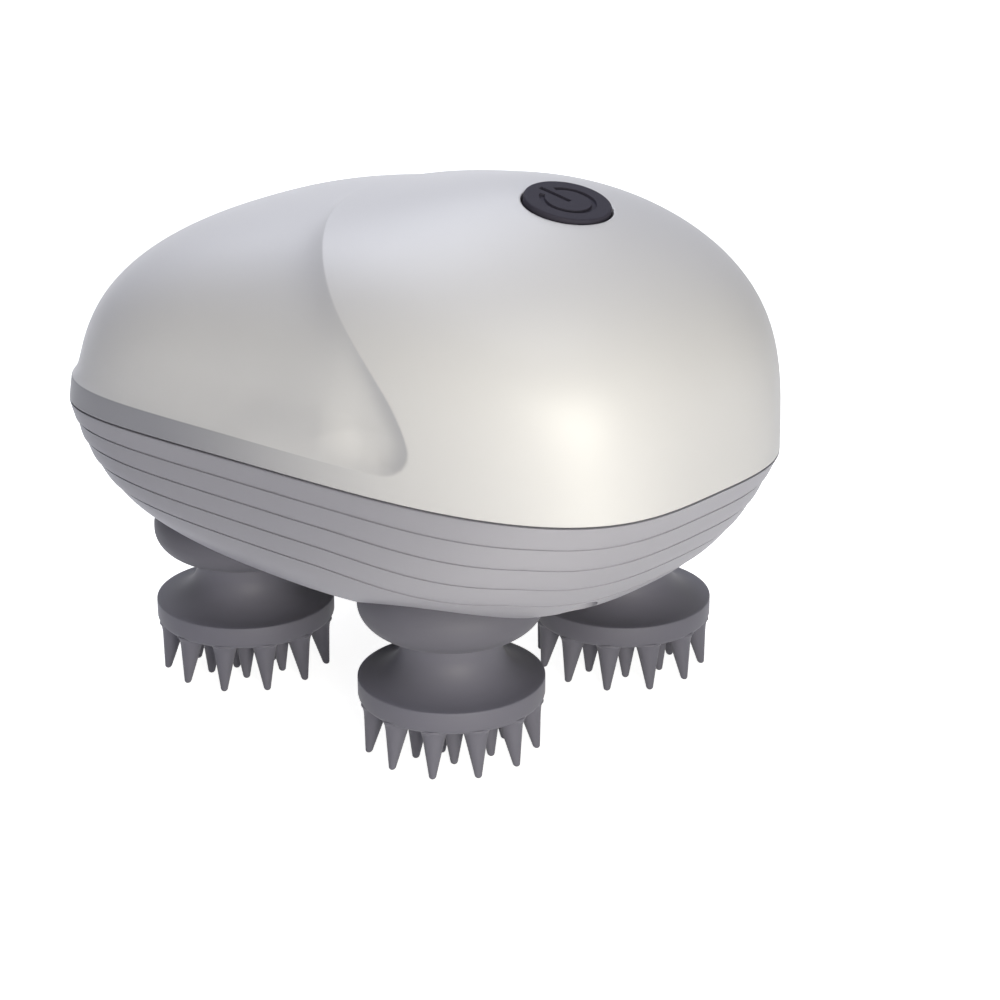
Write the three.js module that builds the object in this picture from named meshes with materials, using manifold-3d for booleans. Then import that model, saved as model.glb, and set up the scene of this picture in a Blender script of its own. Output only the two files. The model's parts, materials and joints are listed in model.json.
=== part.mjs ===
// Electric scalp massager: millimetres, +Z up, nub tips on z = 0, tail towards -X, blunt end towards +X.
import * as THREE from "three";
import { mergeVertices } from "three/addons/utils/BufferGeometryUtils.js";
import Module from "manifold-3d";

const wasm = await Module();
wasm.setup();

// Whole body
const LENGTH = 110;
const WIDTH = 80;
const SEAM_Z = 44.25;
const DOME_RISE = 32.6;
const FLOOR_Z = 23;
const WALL = 2.4;
const PARTING_GAP = 0.3;
const COLUMNS = 40;
const CLEARANCE = 0.3;

// Seam outline: exponents of the two halves, and how much wider the tail half is
const OUTLINE = { tailP: 6.27, tailQ: 4.41, bluntP: 3.23, bluntQ: 3.39, taper: -0.13 };

// How the rings shrink from the seam to the end: two exponents and the share left, for each half and the sides
const DOME = {
  middle: -0.55,
  tail: [2.95, 3.2, 0],
  blunt: [3.72, 3.71, 0],
  side: [3.72, 3.89, 0],
  ease: 0.815,
  square: 2,
};
const CROWN = { rise: 7.41, x: 18.2, spreadX: 29.8, spreadY: 27.3 };
const BOWL = {
  middle: -10.9,
  tail: [3.05, 0.6, 0.847],
  blunt: [0.96, 2.2, 0.678],
  side: [5.71, 0.8, 0.766],
  ease: 1.27,
  square: 2.4,
};

// Scoop round the tail, with the tongue of the dome left standing in it
const TONGUE_TIP_X = -13.55;
const TONGUE_SPREAD = 0.0092;
const LOBE_END_X = 26.8;
const LOBE_FOOT_Z = 48.4;
const LEDGE_Z = 48.3;
const LEDGE_RUN = 1;
const SCOOP_DEPTH = 0.95;
const SIDE_DEPTH = 1.6;
const SCOOP_RUN = 2.5;
const LOBE_ROUND = 4;
const LOBE_CORNER = 6;

// Grooves round the lower shell
const GROOVES = 4;
const GROOVE_PITCH = 3.05;
const GROOVE_HALF = 0.55;
const GROOVE_DEPTH = 0.6;

// Seal in a step of the lower rim
const LIP = 1.1;
const SEAL_STEP = 1.9;

// Heads: how far each axis stands in from the tail, the blunt end and the side
const HEAD_FROM_TAIL = 29.53;
const HEAD_FROM_BLUNT = 34.47;
const HEAD_FROM_SIDE = 19.33;
const DISC_R = 14.5;
const DISC_LOW_R = 14.05;
const DISC_Z = 8;
const DISC_TOP_Z = 11.6;
const NECK_R = 7.8;
const NECK_TOP_Z = 19.1;
const NUB_BASE_R = 2.1;
const NUB_TIP_R = 0.4;
const HUB_R = 5;
const HUB_Z = 12.5;
const SHAFT_R = 2.5;

// Nub circles: how many, first angle, radius at the disc, radius at the tip
const NUB_CIRCLES = [
  { count: 12, first: 0, base: 11.95, tip: 13.47 },
  { count: 8, first: 0, base: 7.5, tip: 8.2 },
  { count: 4, first: 22.5, base: 3.9, tip: 4.5 },
];

// Collars between the heads and the shell: a bulb seated on the bowl, with a sleeve through it
const COLLAR_R = 14.4;
const COLLAR_MOUTH_R = 8.5;
const COLLAR_LOW_Z = 19.45;
const COLLAR_WIDE_Z = 24;
const SLEEVE_R = 11;
const SLEEVE_WALL = 2;

// Gear train
const SUN_TEETH = 42;
const HEAD_TEETH = 20;
const PINION_TEETH = 10;
const GEAR_H = 5;
const DECK_UNDER_SEAM = 0.45;
const PLATE_T = 2;
const BUSH_R = 4.3;
const AXLE_R = 2;
const MOTOR_R = 10.5;
const MOTOR_H = 24;
const MOTOR_CASE_H = 8;
const MOTOR_SHAFT_R = 1.5;

// Case screws
const SCREW_FROM_TAIL = 11;
const SCREW_FROM_BLUNT = 15.5;
const SCREW_Y = 13;
const SCREW_R = 1.4;
const SCREW_HEAD_R = 2.6;
const SCREW_SEAT = 4;
const SCREW_REACH = 10.2;
const POST_R = 3.9;

// Power button, on an axis tilted towards the blunt end
const BUTTON_FROM_BLUNT = 29.3;
const BUTTON_LIFT = 0.25;
const BUTTON_TILT = 12.7;
const BUTTON_R = 6.7;
const BUTTON_GAP = 0.5;
const BUTTON_FLANGE_R = 8.6;
const BUTTON_TRAVEL = 0.5;
const BUTTON_SKIRT = 3.8;
const BUTTON_FLANGE_T = 1;
const BUTTON_STUD_R = 1.6;
const BUTTON_STUD_L = 1.2;
const BUTTON_SEAL_W = 2;
const SYMBOL_R = 3.95;
const SYMBOL_HALF = 0.42;
const SYMBOL_OPEN = 24;
const SYMBOL_TURN = 6;
const BOARD_DEPTH = 9.6;
const BOARD = [24.5, 22, 1.6];

// Battery
const CELL_R = 9.1;
const CELL_L = 50;
const CELL_FROM_TAIL = 28;
const CRADLE_L = 38;
const CRADLE_H = 7;
const CRADLE_FLOOR = 2;

const deg = Math.PI / 180;
const halfLength = LENGTH / 2;
const halfWidth = WIDTH / 2;
const headX = [HEAD_FROM_TAIL - halfLength, halfLength - HEAD_FROM_BLUNT];
const headY = halfWidth - HEAD_FROM_SIDE;
const driveX = (headX[0] + headX[1]) / 2;
const buttonX = halfLength - BUTTON_FROM_BLUNT;
const cellX = CELL_FROM_TAIL - halfLength;
const centreDistance = Math.hypot(headX[1] - driveX, headY);
const gearModule = (2 * centreDistance) / (SUN_TEETH + HEAD_TEETH);
const motorX = driveX + (gearModule * (SUN_TEETH + PINION_TEETH)) / 2;
const bushRise = 0.7;
const plateZ = SEAM_Z - DECK_UNDER_SEAM - 2 * PLATE_T - GEAR_H - bushRise - 2 * CLEARANCE;
const plateTopZ = plateZ + PLATE_T;
const bushTopZ = plateTopZ + bushRise;
const gearZ = bushTopZ + CLEARANCE;
const deckZ = gearZ + GEAR_H + CLEARANCE;
const deckTopZ = deckZ + PLATE_T;
const screwXs = [SCREW_FROM_TAIL - halfLength, halfLength - SCREW_FROM_BLUNT];
const screwHeadZ = plateZ - SCREW_SEAT - 2;
const screwTopZ = deckTopZ + SCREW_REACH;

const heads = [
  { name: "near_tail", x: -1, y: -1 },
  { name: "near_blunt", x: 1, y: -1 },
  { name: "far_blunt", x: 1, y: 1 },
  { name: "far_tail", x: -1, y: 1 },
].map((h) => ({ name: h.name, x: headX[h.x < 0 ? 0 : 1], y: h.y * headY }));

// Solids
function solid(geometry) {
  const g = geometry.clone();
  g.deleteAttribute("normal");
  g.deleteAttribute("uv");
  const merged = mergeVertices(g, 1e-4);
  const data = {
    numProp: 3,
    vertProperties: merged.attributes.position.array,
    triVerts: new Uint32Array(merged.index.array),
  };
  return new wasm.Manifold(new wasm.Mesh(data));
}

function geometryOf(body) {
  const mesh = body.getMesh();
  const g = new THREE.BufferGeometry();
  g.setAttribute("position", new THREE.BufferAttribute(new Float32Array(mesh.vertProperties), 3));
  g.setIndex(new THREE.BufferAttribute(new Uint32Array(mesh.triVerts), 1));
  return g;
}

// Body turned about the z axis from a closed profile of [radius, z]
function turned(profile, segments) {
  const points = profile.map(([r, z]) => new THREE.Vector2(r, z));
  return new THREE.LatheGeometry(points, segments).rotateX(Math.PI / 2);
}

function rod(r, z0, z1, segments = 16) {
  return turned([[0, z0], [r, z0], [r, z1], [0, z1]], segments);
}

function ring(inner, outer, z0, z1, segments = 20) {
  return turned([[inner, z0], [outer, z0], [outer, z1], [inner, z1], [inner, z0]], segments);
}

function plate(shape, z, height, curveSegments = 8) {
  const options = { depth: height, bevelEnabled: false, curveSegments };
  return new THREE.ExtrudeGeometry(shape, options).translate(0, 0, z);
}

function roundedRect(x0, x1, y0, y1, r) {
  const s = new THREE.Shape();
  s.moveTo(x0 + r, y0);
  s.lineTo(x1 - r, y0);
  s.absarc(x1 - r, y0 + r, r, -Math.PI / 2, 0);
  s.lineTo(x1, y1 - r);
  s.absarc(x1 - r, y1 - r, r, 0, Math.PI / 2);
  s.lineTo(x0 + r, y1);
  s.absarc(x0 + r, y1 - r, r, Math.PI / 2, Math.PI);
  s.lineTo(x0, y0 + r);
  s.absarc(x0 + r, y0 + r, r, Math.PI, 1.5 * Math.PI);
  return s;
}

// Closed body from a stack of rings; two end points close it, or the last ring meets the first
function loft(rings, start, end) {
  const n = rings[0].length;
  const points = rings.flat().map((p) => p.clone());
  const index = [];
  const last = start ? rings.length - 1 : rings.length;
  for (let i = 0; i < last; i++) {
    const k = (i + 1) % rings.length;
    for (let j = 0; j < n; j++) {
      const next = (j + 1) % n;
      index.push(i * n + j, i * n + next, k * n + next, i * n + j, k * n + next, k * n + j);
    }
  }
  if (start) {
    const a = points.push(start) - 1;
    const b = points.push(end) - 1;
    const top = (rings.length - 1) * n;
    for (let j = 0; j < n; j++) {
      const next = (j + 1) % n;
      index.push(a, next, j, b, top + j, top + next);
    }
  }
  let volume = 0;
  for (let i = 0; i < index.length; i += 3) {
    const [a, b, c] = index.slice(i, i + 3).map((k) => points[k]);
    volume += a.dot(b.clone().cross(c));
  }
  if (volume < 0) index.reverse();
  const g = new THREE.BufferGeometry();
  const flat = points.flatMap((p) => [p.x, p.y, p.z]);
  g.setAttribute("position", new THREE.Float32BufferAttribute(flat, 3));
  g.setIndex(index);
  return g;
}

const smooth = (t) => {
  const c = Math.min(1, Math.max(0, t));
  return c * c * (3 - 2 * c);
};

// Half width of a ring at u, -1 at the tail and 1 at the blunt end; k eases the exponents to those of the end
function ringWidth(u, k, square) {
  const p = square + ((u < 0 ? OUTLINE.tailP : OUTLINE.bluntP) - square) * k;
  const q = square + ((u < 0 ? OUTLINE.tailQ : OUTLINE.bluntQ) - square) * k;
  return (1 + OUTLINE.taper * k * u) * Math.pow(Math.max(0, 1 - Math.abs(u) ** p), 1 / q);
}

const peakCache = new Map();
function peakWidth(k, square) {
  const key = k + 10 * square;
  if (!peakCache.has(key)) {
    const widths = Array.from({ length: 401 }, (_, i) => ringWidth(i / 200 - 1, k, square));
    peakCache.set(key, Math.max(...widths));
  }
  return peakCache.get(key);
}

// Point of a body surface: station [u, side], s from 0 at the seam to 1 at the end, moved in by inset
function surface(form, sign, height, [u, side], s, inset) {
  const shrink = ([a, b, left]) => left + (1 - left) * Math.pow(Math.max(0, 1 - s ** a), 1 / b);
  const tail = form.middle - (halfLength - inset + form.middle) * shrink(form.tail);
  const blunt = form.middle + (halfLength - inset - form.middle) * shrink(form.blunt);
  const k = Math.max(0, 1 - s) ** form.ease;
  const shape = ringWidth(u, k, form.square) / peakWidth(k, form.square);
  const w = (halfWidth - inset) * shrink(form.side) * shape;
  const x = (tail + blunt) / 2 + ((blunt - tail) / 2) * u;
  return new THREE.Vector3(x, side * w, SEAM_Z + sign * (height - inset) * s);
}

// Stations at equal steps along the seam outline, tail and blunt end among them
function stations(count) {
  const fine = 4000;
  const path = Array.from({ length: fine + 1 }, (_, i) => {
    const u = -Math.cos((Math.PI * i) / fine);
    return [u, halfLength * u, (halfWidth * ringWidth(u, 1, 2)) / peakWidth(1, 2)];
  });
  const run = [0];
  for (let i = 1; i <= fine; i++) {
    run.push(run[i - 1] + Math.hypot(path[i][1] - path[i - 1][1], path[i][2] - path[i - 1][2]));
  }
  const half = count / 2;
  const us = [];
  for (let j = 0; j <= half; j++) {
    const target = (run[fine] * j) / half;
    const i = run.findIndex((r) => r >= target - 1e-9);
    us.push(path[i][0]);
  }
  us[0] = -1;
  us[half] = 1;
  const near = us.map((u) => [u, -1]);
  const far = us.slice(1, half).reverse().map((u) => [u, 1]);
  return near.concat(far);
}
const around = stations(COLUMNS);

// Height that the crown adds to the dome
function crown(x, y, s) {
  const away = ((x - CROWN.x) / CROWN.spreadX) ** 2 + (y / CROWN.spreadY) ** 2;
  return CROWN.rise * Math.exp(-away) * smooth(s / 0.3);
}

function domePoint(station, s, inset) {
  const p = surface(DOME, 1, DOME_RISE, station, s, inset);
  p.z += crown(p.x, p.y, s);
  return p;
}

const bowlPoint = (station, s, inset) => surface(BOWL, -1, SEAM_Z - FLOOR_Z, station, s, inset);

// How deep the scoop is at a point of the dome: a step at the tongue's edge, a shelf above the ledge
function scoopDepth(p) {
  const tau = Math.atan2(Math.abs(p.y), p.z - SEAM_Z) / deg;
  const edge = (TONGUE_TIP_X + TONGUE_SPREAD * tau * tau - p.x) / Math.hypot(1, 0.028 * tau);
  const foot = p.z - LOBE_FOOT_Z + 0.8 * Math.max(0, 16 - p.x);
  const front = -LOBE_ROUND * Math.log(Math.exp(-edge / LOBE_ROUND) + Math.exp((p.x - LOBE_END_X) / LOBE_ROUND));
  const past = Math.hypot(Math.max(0, LOBE_CORNER - front), Math.max(0, LOBE_CORNER - foot));
  const inside = Math.max(0, past > 0 ? LOBE_CORNER - past : Math.min(front, foot));
  const run = LEDGE_RUN + 5 * smooth((p.x + 12) / 22);
  const shelf = 1 - Math.exp(-Math.max(0, p.z - LEDGE_Z) / run);
  const atLobe = smooth((p.x - 10) / 8);
  const high = Math.max(smooth((p.z - LEDGE_Z) / 14), 0.7 * atLobe);
  const side = smooth((tau - 28) / 27) * smooth((p.x + 42) / 30) * high;
  const depth = SCOOP_DEPTH + SIDE_DEPTH * side;
  return depth * (1 - Math.exp(-inside / SCOOP_RUN)) * (shelf + (1 - shelf) * atLobe);
}

// Dome point with the scoop taken out, towards a line along the middle of the case
function scoopedPoint(station, s, inset) {
  const p = domePoint(station, s, inset);
  const depth = scoopDepth(domePoint(station, s, 0));
  const inward = new THREE.Vector3(6 - p.x, -p.y, SEAM_Z + 4 - p.z).normalize();
  return p.addScaledVector(inward, depth);
}

// Where a point of the lower shell lies on a groove
function grooveDrop(u) {
  const x = halfLength * u;
  return GROOVE_PITCH + 0.55 * smooth((x - 10) / 32) + 0.5 * smooth((x - 44) / 11);
}

const domeTopZ = SEAM_Z + DOME_RISE + crown(DOME.middle, 0, 1);
const highestZ = SEAM_Z + DOME_RISE + CROWN.rise;

// Height of the dome's middle line, blunt half
function domeHeight(x) {
  const [a, b] = DOME.blunt;
  const s = (1 - ((x - DOME.middle) / (halfLength - DOME.middle)) ** b) ** (1 / a);
  return SEAM_Z + DOME_RISE * s + crown(x, 0, s);
}
const buttonTopZ = domeHeight(buttonX) + BUTTON_LIFT;

const domeLevels = (rows, power) =>
  Array.from({ length: rows }, (_, i) => (1 - (1 - i / rows) ** power) ** (1 / 3.2));

// Upper shell
function domeSolid(inset) {
  const rings = domeLevels(9, 2.2).map((s) => around.map((station) => domePoint(station, s, inset)));
  const low = around.map((station) => domePoint(station, 0, inset).setZ(SEAM_Z));
  const top = new THREE.Vector3(DOME.middle, 0, domeTopZ - inset);
  const foot = new THREE.Vector3(0, 0, SEAM_Z);
  rings[0] = low;
  return solid(loft(rings.reverse(), top, foot));
}

const tilt = new THREE.Matrix4()
  .makeTranslation(buttonX, 0, buttonTopZ)
  .multiply(new THREE.Matrix4().makeRotationY(BUTTON_TILT * deg));

function upperShell() {
  const levels = [0, 0.12, 0.17, 0.3, 0.45].concat(domeLevels(9, 2.2).filter((s) => s > 0.5));
  const inner = domeLevels(6, 2.2).filter((s) => s > 0.4);
  const rimZ = SEAM_Z + PARTING_GAP / 2;
  const outer = levels.map((s) => around.map((station) => scoopedPoint(station, s, 0)));
  const within = [0, 0.3].concat(inner);
  const inside = within.map((s) => around.map((station) => scoopedPoint(station, s, WALL)));
  outer[0].forEach((p) => p.setZ(rimZ));
  inside[0].forEach((p) => p.setZ(rimZ));
  const top = new THREE.Vector3(DOME.middle, 0, domeTopZ);
  const under = new THREE.Vector3(DOME.middle, 0, domeTopZ - WALL);
  let body = solid(loft(outer.reverse().concat(inside), top, under));
  const core = domeSolid(WALL / 2);
  for (const x of screwXs) {
    for (const y of [-SCREW_Y, SCREW_Y]) {
      const boss = rod(POST_R, deckTopZ + CLEARANCE, highestZ, 10).translate(x, y, 0);
      const bore = rod(SCREW_R + CLEARANCE, deckTopZ - 1, screwTopZ + 1, 8).translate(x, y, 0);
      body = body.add(solid(boss).intersect(core)).subtract(solid(bore));
    }
  }
  for (const y of boardScrewYs) {
    const boss = rod(2.4, CLEARANCE - boardTop, 6 - boardTop, 10);
    boss.translate(boardScrewX, y, 0).applyMatrix4(tilt);
    const bore = rod(1.1, -boardTop - 1, 2 - boardTop, 8).translate(boardScrewX, y, 0).applyMatrix4(tilt);
    body = body.add(solid(boss).intersect(core)).subtract(solid(bore));
  }
  const hole = rod(BUTTON_R + BUTTON_GAP, -4.2, 6, 28).applyMatrix4(tilt);
  const pocket = rod(BUTTON_FLANGE_R + CLEARANCE, -7, -2.9, 28).applyMatrix4(tilt);
  return body.subtract(solid(hole)).subtract(solid(pocket));
}

// Rings of the lower shell's outer surface, from the rim to the floor
function bowlRings(grooveDepth) {
  const row = (drop, depth) =>
    around.map((station) => {
      const z = SEAM_Z - drop * grooveDrop(station[0]);
      return bowlPoint(station, (SEAM_Z - z) / (SEAM_Z - FLOOR_Z), depth).setZ(z);
    });
  const rings = [around.map((station) => bowlPoint(station, 0, 0).setZ(SEAM_Z - PARTING_GAP / 2))];
  for (let g = 1; g <= GROOVES; g++) {
    rings.push(row(g - GROOVE_HALF / GROOVE_PITCH, 0));
    rings.push(row(g, grooveDepth));
    rings.push(row(g + GROOVE_HALF / GROOVE_PITCH, 0));
  }
  const lowest = row(GROOVES + 0.3, 0).map((p) => (SEAM_Z - p.z) / (SEAM_Z - FLOOR_Z));
  for (const t of [0.3, 0.55, 0.75, 0.88, 0.96, 1]) {
    rings.push(around.map((station, j) => bowlPoint(station, lowest[j] + (1 - lowest[j]) * t, 0)));
  }
  return rings;
}

// Lower shell
function lowerShell() {
  const rimZ = SEAM_Z - PARTING_GAP / 2;
  const stepZ = rimZ - SEAL_STEP;
  const outer = bowlRings(GROOVE_DEPTH);
  const inside = [
    around.map((station) => bowlPoint(station, 0, LIP).setZ(rimZ)),
    around.map((station) => bowlPoint(station, 0, LIP).setZ(stepZ)),
    around.map((station) => bowlPoint(station, 0.1, WALL).setZ(stepZ)),
  ];
  for (const s of [0.35, 0.6, 0.8, 0.9, 0.96, 1]) {
    inside.push(around.map((station) => bowlPoint(station, s, WALL)));
  }
  const floor = new THREE.Vector3(-9, 0, FLOOR_Z);
  const floorIn = new THREE.Vector3(-9, 0, FLOOR_Z + WALL);
  let body = solid(loft(outer.reverse().concat(inside), floor, floorIn));
  const core = solid(bowlSolid(WALL / 2));
  for (const x of screwXs) {
    for (const y of [-SCREW_Y, SCREW_Y]) {
      const post = rod(POST_R, FLOOR_Z, plateZ - CLEARANCE, 12).translate(x, y, 0);
      const bore = rod(SCREW_R + CLEARANCE, 20, plateZ + 1, 8).translate(x, y, 0);
      const sink = rod(SCREW_HEAD_R + CLEARANCE, 20, screwHeadZ + 2 + CLEARANCE, 12).translate(x, y, 0);
      body = body.add(solid(post).intersect(core)).subtract(solid(bore)).subtract(solid(sink));
    }
  }
  for (const h of heads) {
    body = body.subtract(solid(rod(SLEEVE_R + CLEARANCE, 15, plateZ + 0.4, 24).translate(h.x, h.y, 0)));
  }
  for (const x of contactXs) {
    body = body.subtract(solid(rod(CONTACT_R + CLEARANCE, 20, 30, 12).translate(x, 0, 0)));
  }
  return body;
}

function bowlSolid(inset) {
  const rings = [0, 0.3, 0.6, 0.8, 0.9, 0.96, 1].map((s) =>
    around.map((station) => bowlPoint(station, s, inset)),
  );
  const foot = new THREE.Vector3(-9, 0, FLOOR_Z + inset);
  return loft(rings.reverse(), foot, new THREE.Vector3(0, 0, SEAM_Z));
}

// Bowl without its grooves, filled, a clearance lower than it is
function bowlSeat() {
  const foot = new THREE.Vector3(-9, 0, FLOOR_Z);
  const body = solid(loft(bowlRings(0).reverse(), foot, new THREE.Vector3(0, 0, SEAM_Z)));
  return body.translate([0, 0, -CLEARANCE]);
}

// Seal ring in the step of the lower rim
function caseSeal() {
  const low = SEAM_Z - PARTING_GAP / 2 - SEAL_STEP + CLEARANCE;
  const high = SEAM_Z - PARTING_GAP / 2;
  const out = LIP + CLEARANCE;
  const at = (inset, z) => around.map((station) => bowlPoint(station, 0, inset).setZ(z));
  return solid(loft([at(out, high), at(out, low), at(WALL, low), at(WALL, high)].reverse()));
}

// Gear outline: straight-sided teeth, a little thinner than the gap they run in
function gear(teeth, first) {
  const pitchR = (gearModule * teeth) / 2;
  const tipR = pitchR + 0.78 * gearModule;
  const rootR = pitchR - 1.1 * gearModule;
  const step = (2 * Math.PI) / teeth;
  const tipHalf = (0.3 * gearModule) / tipR;
  const rootHalf = (1.02 * gearModule) / rootR;
  const shape = new THREE.Shape();
  for (let i = 0; i < teeth; i++) {
    const a = first + i * step;
    const corners = [[rootR, -rootHalf], [tipR, -tipHalf], [tipR, tipHalf], [rootR, rootHalf]];
    corners.forEach(([r, d], k) => {
      const x = r * Math.cos(a + d);
      const y = r * Math.sin(a + d);
      if (i === 0 && k === 0) shape.moveTo(x, y);
      else shape.lineTo(x, y);
    });
  }
  return shape;
}

// First tooth angle of a gear that meets the middle gear, whose first tooth is at 0, in direction beta
function meshPhase(teeth, beta) {
  const step = (2 * Math.PI) / teeth;
  return beta + Math.PI + (beta * SUN_TEETH) / teeth - step / 2;
}

function bored(body, r, z0, z1, segments = 16) {
  return body.subtract(solid(rod(r, z0 - 1, z1 + 1, segments)));
}

function headGear(h) {
  const beta = Math.atan2(h.y, h.x - driveX);
  const body = solid(plate(gear(HEAD_TEETH, meshPhase(HEAD_TEETH, beta)), gearZ, GEAR_H));
  return bored(body, SHAFT_R + CLEARANCE, gearZ, gearZ + GEAR_H);
}

// Head: silicone disc, neck and cones in one body
function nub(circle, angle) {
  const sides = 5;
  const axisAt = (z) => {
    const t = 1 - z / DISC_Z;
    const r = circle.base + (circle.tip - circle.base) * t;
    return [r * Math.cos(angle), r * Math.sin(angle)];
  };
  const level = (z, r) => {
    const [cx, cy] = axisAt(z);
    return Array.from({ length: sides }, (_, i) => {
      const a = angle + (2 * Math.PI * i) / sides;
      return new THREE.Vector3(cx + r * Math.cos(a), cy + r * Math.sin(a), z);
    });
  };
  const rings = [level(DISC_Z + 0.4, NUB_BASE_R), level(0, NUB_TIP_R)];
  const [ax, ay] = axisAt(DISC_Z + 0.4);
  const [bx, by] = axisAt(0);
  const g = loft(rings.reverse(), new THREE.Vector3(bx, by, 0), new THREE.Vector3(ax, ay, DISC_Z + 0.4));
  return solid(g);
}

function massageHead() {
  const bore = HUB_R + CLEARANCE;
  const profile = [
    [0, DISC_Z],
    [DISC_LOW_R, DISC_Z],
    [DISC_R, DISC_Z + 0.5],
    [DISC_R, DISC_TOP_Z - 0.4],
    [DISC_R - 0.6, DISC_TOP_Z],
    [DISC_R - 3.4, DISC_TOP_Z + 1],
    [NECK_R + 0.8, DISC_TOP_Z + 3],
    [NECK_R, NECK_TOP_Z],
    [bore, NECK_TOP_Z],
    [bore, HUB_Z - CLEARANCE],
    [0, HUB_Z - CLEARANCE],
  ];
  let body = solid(turned(profile, 18));
  for (const circle of NUB_CIRCLES) {
    for (let i = 0; i < circle.count; i++) {
      body = body.add(nub(circle, circle.first * deg + (2 * Math.PI * i) / circle.count));
    }
  }
  return body;
}

// Collar: soft bulb round the shaft, cut by the bowl it seats on, with a sleeve up to the plate
function collar(h) {
  const rise = COLLAR_WIDE_Z - COLLAR_LOW_Z;
  const sweep = [0, 25, 48, 70, 90].map((a) => [
    COLLAR_MOUTH_R + (COLLAR_R - COLLAR_MOUTH_R) * Math.sin(a * deg),
    COLLAR_WIDE_Z - rise * Math.cos(a * deg),
  ]);
  const inner = SLEEVE_R - SLEEVE_WALL;
  const shoulderZ = COLLAR_WIDE_Z + 5;
  const profile = [
    [SHAFT_R + CLEARANCE, COLLAR_LOW_Z],
    ...sweep,
    [COLLAR_R - 0.6, COLLAR_WIDE_Z + 2.4],
    [SLEEVE_R + 1, shoulderZ],
    [inner, shoulderZ],
    [inner, COLLAR_WIDE_Z - 0.8],
    [inner - 1.6, COLLAR_LOW_Z + SLEEVE_WALL],
    [SHAFT_R + CLEARANCE, COLLAR_LOW_Z + SLEEVE_WALL],
    [SHAFT_R + CLEARANCE, COLLAR_LOW_Z],
  ];
  const seat = bowlSeat().translate([-h.x, -h.y, 0]);
  const bulb = solid(turned(profile, 24)).subtract(seat);
  const sleeve = solid(ring(inner, SLEEVE_R, FLOOR_Z - 1, plateZ - CLEARANCE, 24));
  return bulb.add(sleeve);
}

function bush() {
  const flangeZ = plateZ - CLEARANCE - 1;
  const profile = [
    [SHAFT_R + CLEARANCE, flangeZ],
    [BUSH_R + 1.4, flangeZ],
    [BUSH_R + 1.4, flangeZ + 1],
    [BUSH_R, flangeZ + 1],
    [BUSH_R, bushTopZ],
    [SHAFT_R + CLEARANCE, bushTopZ],
    [SHAFT_R + CLEARANCE, flangeZ],
  ];
  return solid(turned(profile, 12));
}

// Plate outline that follows the inside of the lower shell at a height
function plateOutline(z) {
  const s = (SEAM_Z - z) / (SEAM_Z - FLOOR_Z);
  const corners = around.filter((_, i) => i % 2 === 0);
  const inset = WALL + 4 * CLEARANCE;
  return new THREE.Shape(corners.map((c) => bowlPoint(c, s, inset)).map((p) => new THREE.Vector2(p.x, p.y)));
}

// Plates that carry the gears, with spacer columns on the lower one
function lowerPlate() {
  let body = solid(plate(plateOutline(plateZ), plateZ, PLATE_T));
  for (const x of screwXs) {
    for (const y of [-SCREW_Y, SCREW_Y]) {
      const column = rod(POST_R, plateZ + 0.5, deckZ - CLEARANCE, 10).translate(x, y, 0);
      body = body.add(solid(column));
      body = body.subtract(solid(rod(SCREW_R + CLEARANCE, plateZ - 1, deckTopZ + 1, 8).translate(x, y, 0)));
    }
  }
  for (const h of heads) {
    body = body.subtract(solid(rod(BUSH_R + CLEARANCE, plateZ - 1, plateTopZ + 1, 12).translate(h.x, h.y, 0)));
  }
  return body.subtract(solid(rod(AXLE_R + CLEARANCE, plateZ - 1, plateTopZ + 1, 12).translate(driveX, 0, 0)));
}

function upperPlate() {
  let body = solid(plate(plateOutline(deckZ), deckZ, PLATE_T));
  for (const x of screwXs) {
    for (const y of [-SCREW_Y, SCREW_Y]) {
      body = body.subtract(solid(rod(SCREW_R + CLEARANCE, deckZ - 1, deckTopZ + 1, 8).translate(x, y, 0)));
    }
  }
  for (const h of heads) {
    body = body.subtract(solid(rod(SHAFT_R + CLEARANCE, deckZ - 1, deckTopZ + 1, 12).translate(h.x, h.y, 0)));
  }
  body = body.subtract(solid(rod(AXLE_R + CLEARANCE, deckZ - 1, deckTopZ + 1, 12).translate(driveX, 0, 0)));
  return body.subtract(solid(rod(MOTOR_SHAFT_R + 1.2, deckZ - 1, deckTopZ + 1, 12).translate(motorX, 0, 0)));
}

// Geared motor: wide gear case below, can above, standing on the upper plate
function gearedMotor() {
  const foot = deckTopZ + CLEARANCE;
  const top = foot + MOTOR_H;
  const profile = [
    [0, foot + MOTOR_CASE_H],
    [MOTOR_SHAFT_R + CLEARANCE, foot + MOTOR_CASE_H],
    [MOTOR_SHAFT_R + CLEARANCE, foot],
    [MOTOR_R, foot],
    [MOTOR_R, foot + MOTOR_CASE_H],
    [MOTOR_R - 1, foot + MOTOR_CASE_H + 0.6],
    [MOTOR_R - 1, top - 1],
    [MOTOR_R - 1.8, top],
    [0, top],
  ];
  return solid(turned(profile, 22).translate(motorX, 0, 0));
}

function pinion() {
  const body = solid(plate(gear(PINION_TEETH, meshPhase(PINION_TEETH, 0)), gearZ, GEAR_H));
  const shaftTop = deckTopZ + CLEARANCE + MOTOR_CASE_H - 0.5;
  return body.add(solid(rod(MOTOR_SHAFT_R, gearZ, shaftTop, 12)));
}

// Button parts, built round the button's own axis with its face at z = 0
const boardTop = BOARD_DEPTH - BOARD[2];
const flangeLow = BUTTON_SKIRT + BUTTON_FLANGE_T;
const studLow = flangeLow + BUTTON_STUD_L;
const boardScrewX = 9;
const boardScrewYs = [-8.5, 8.5];

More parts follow.
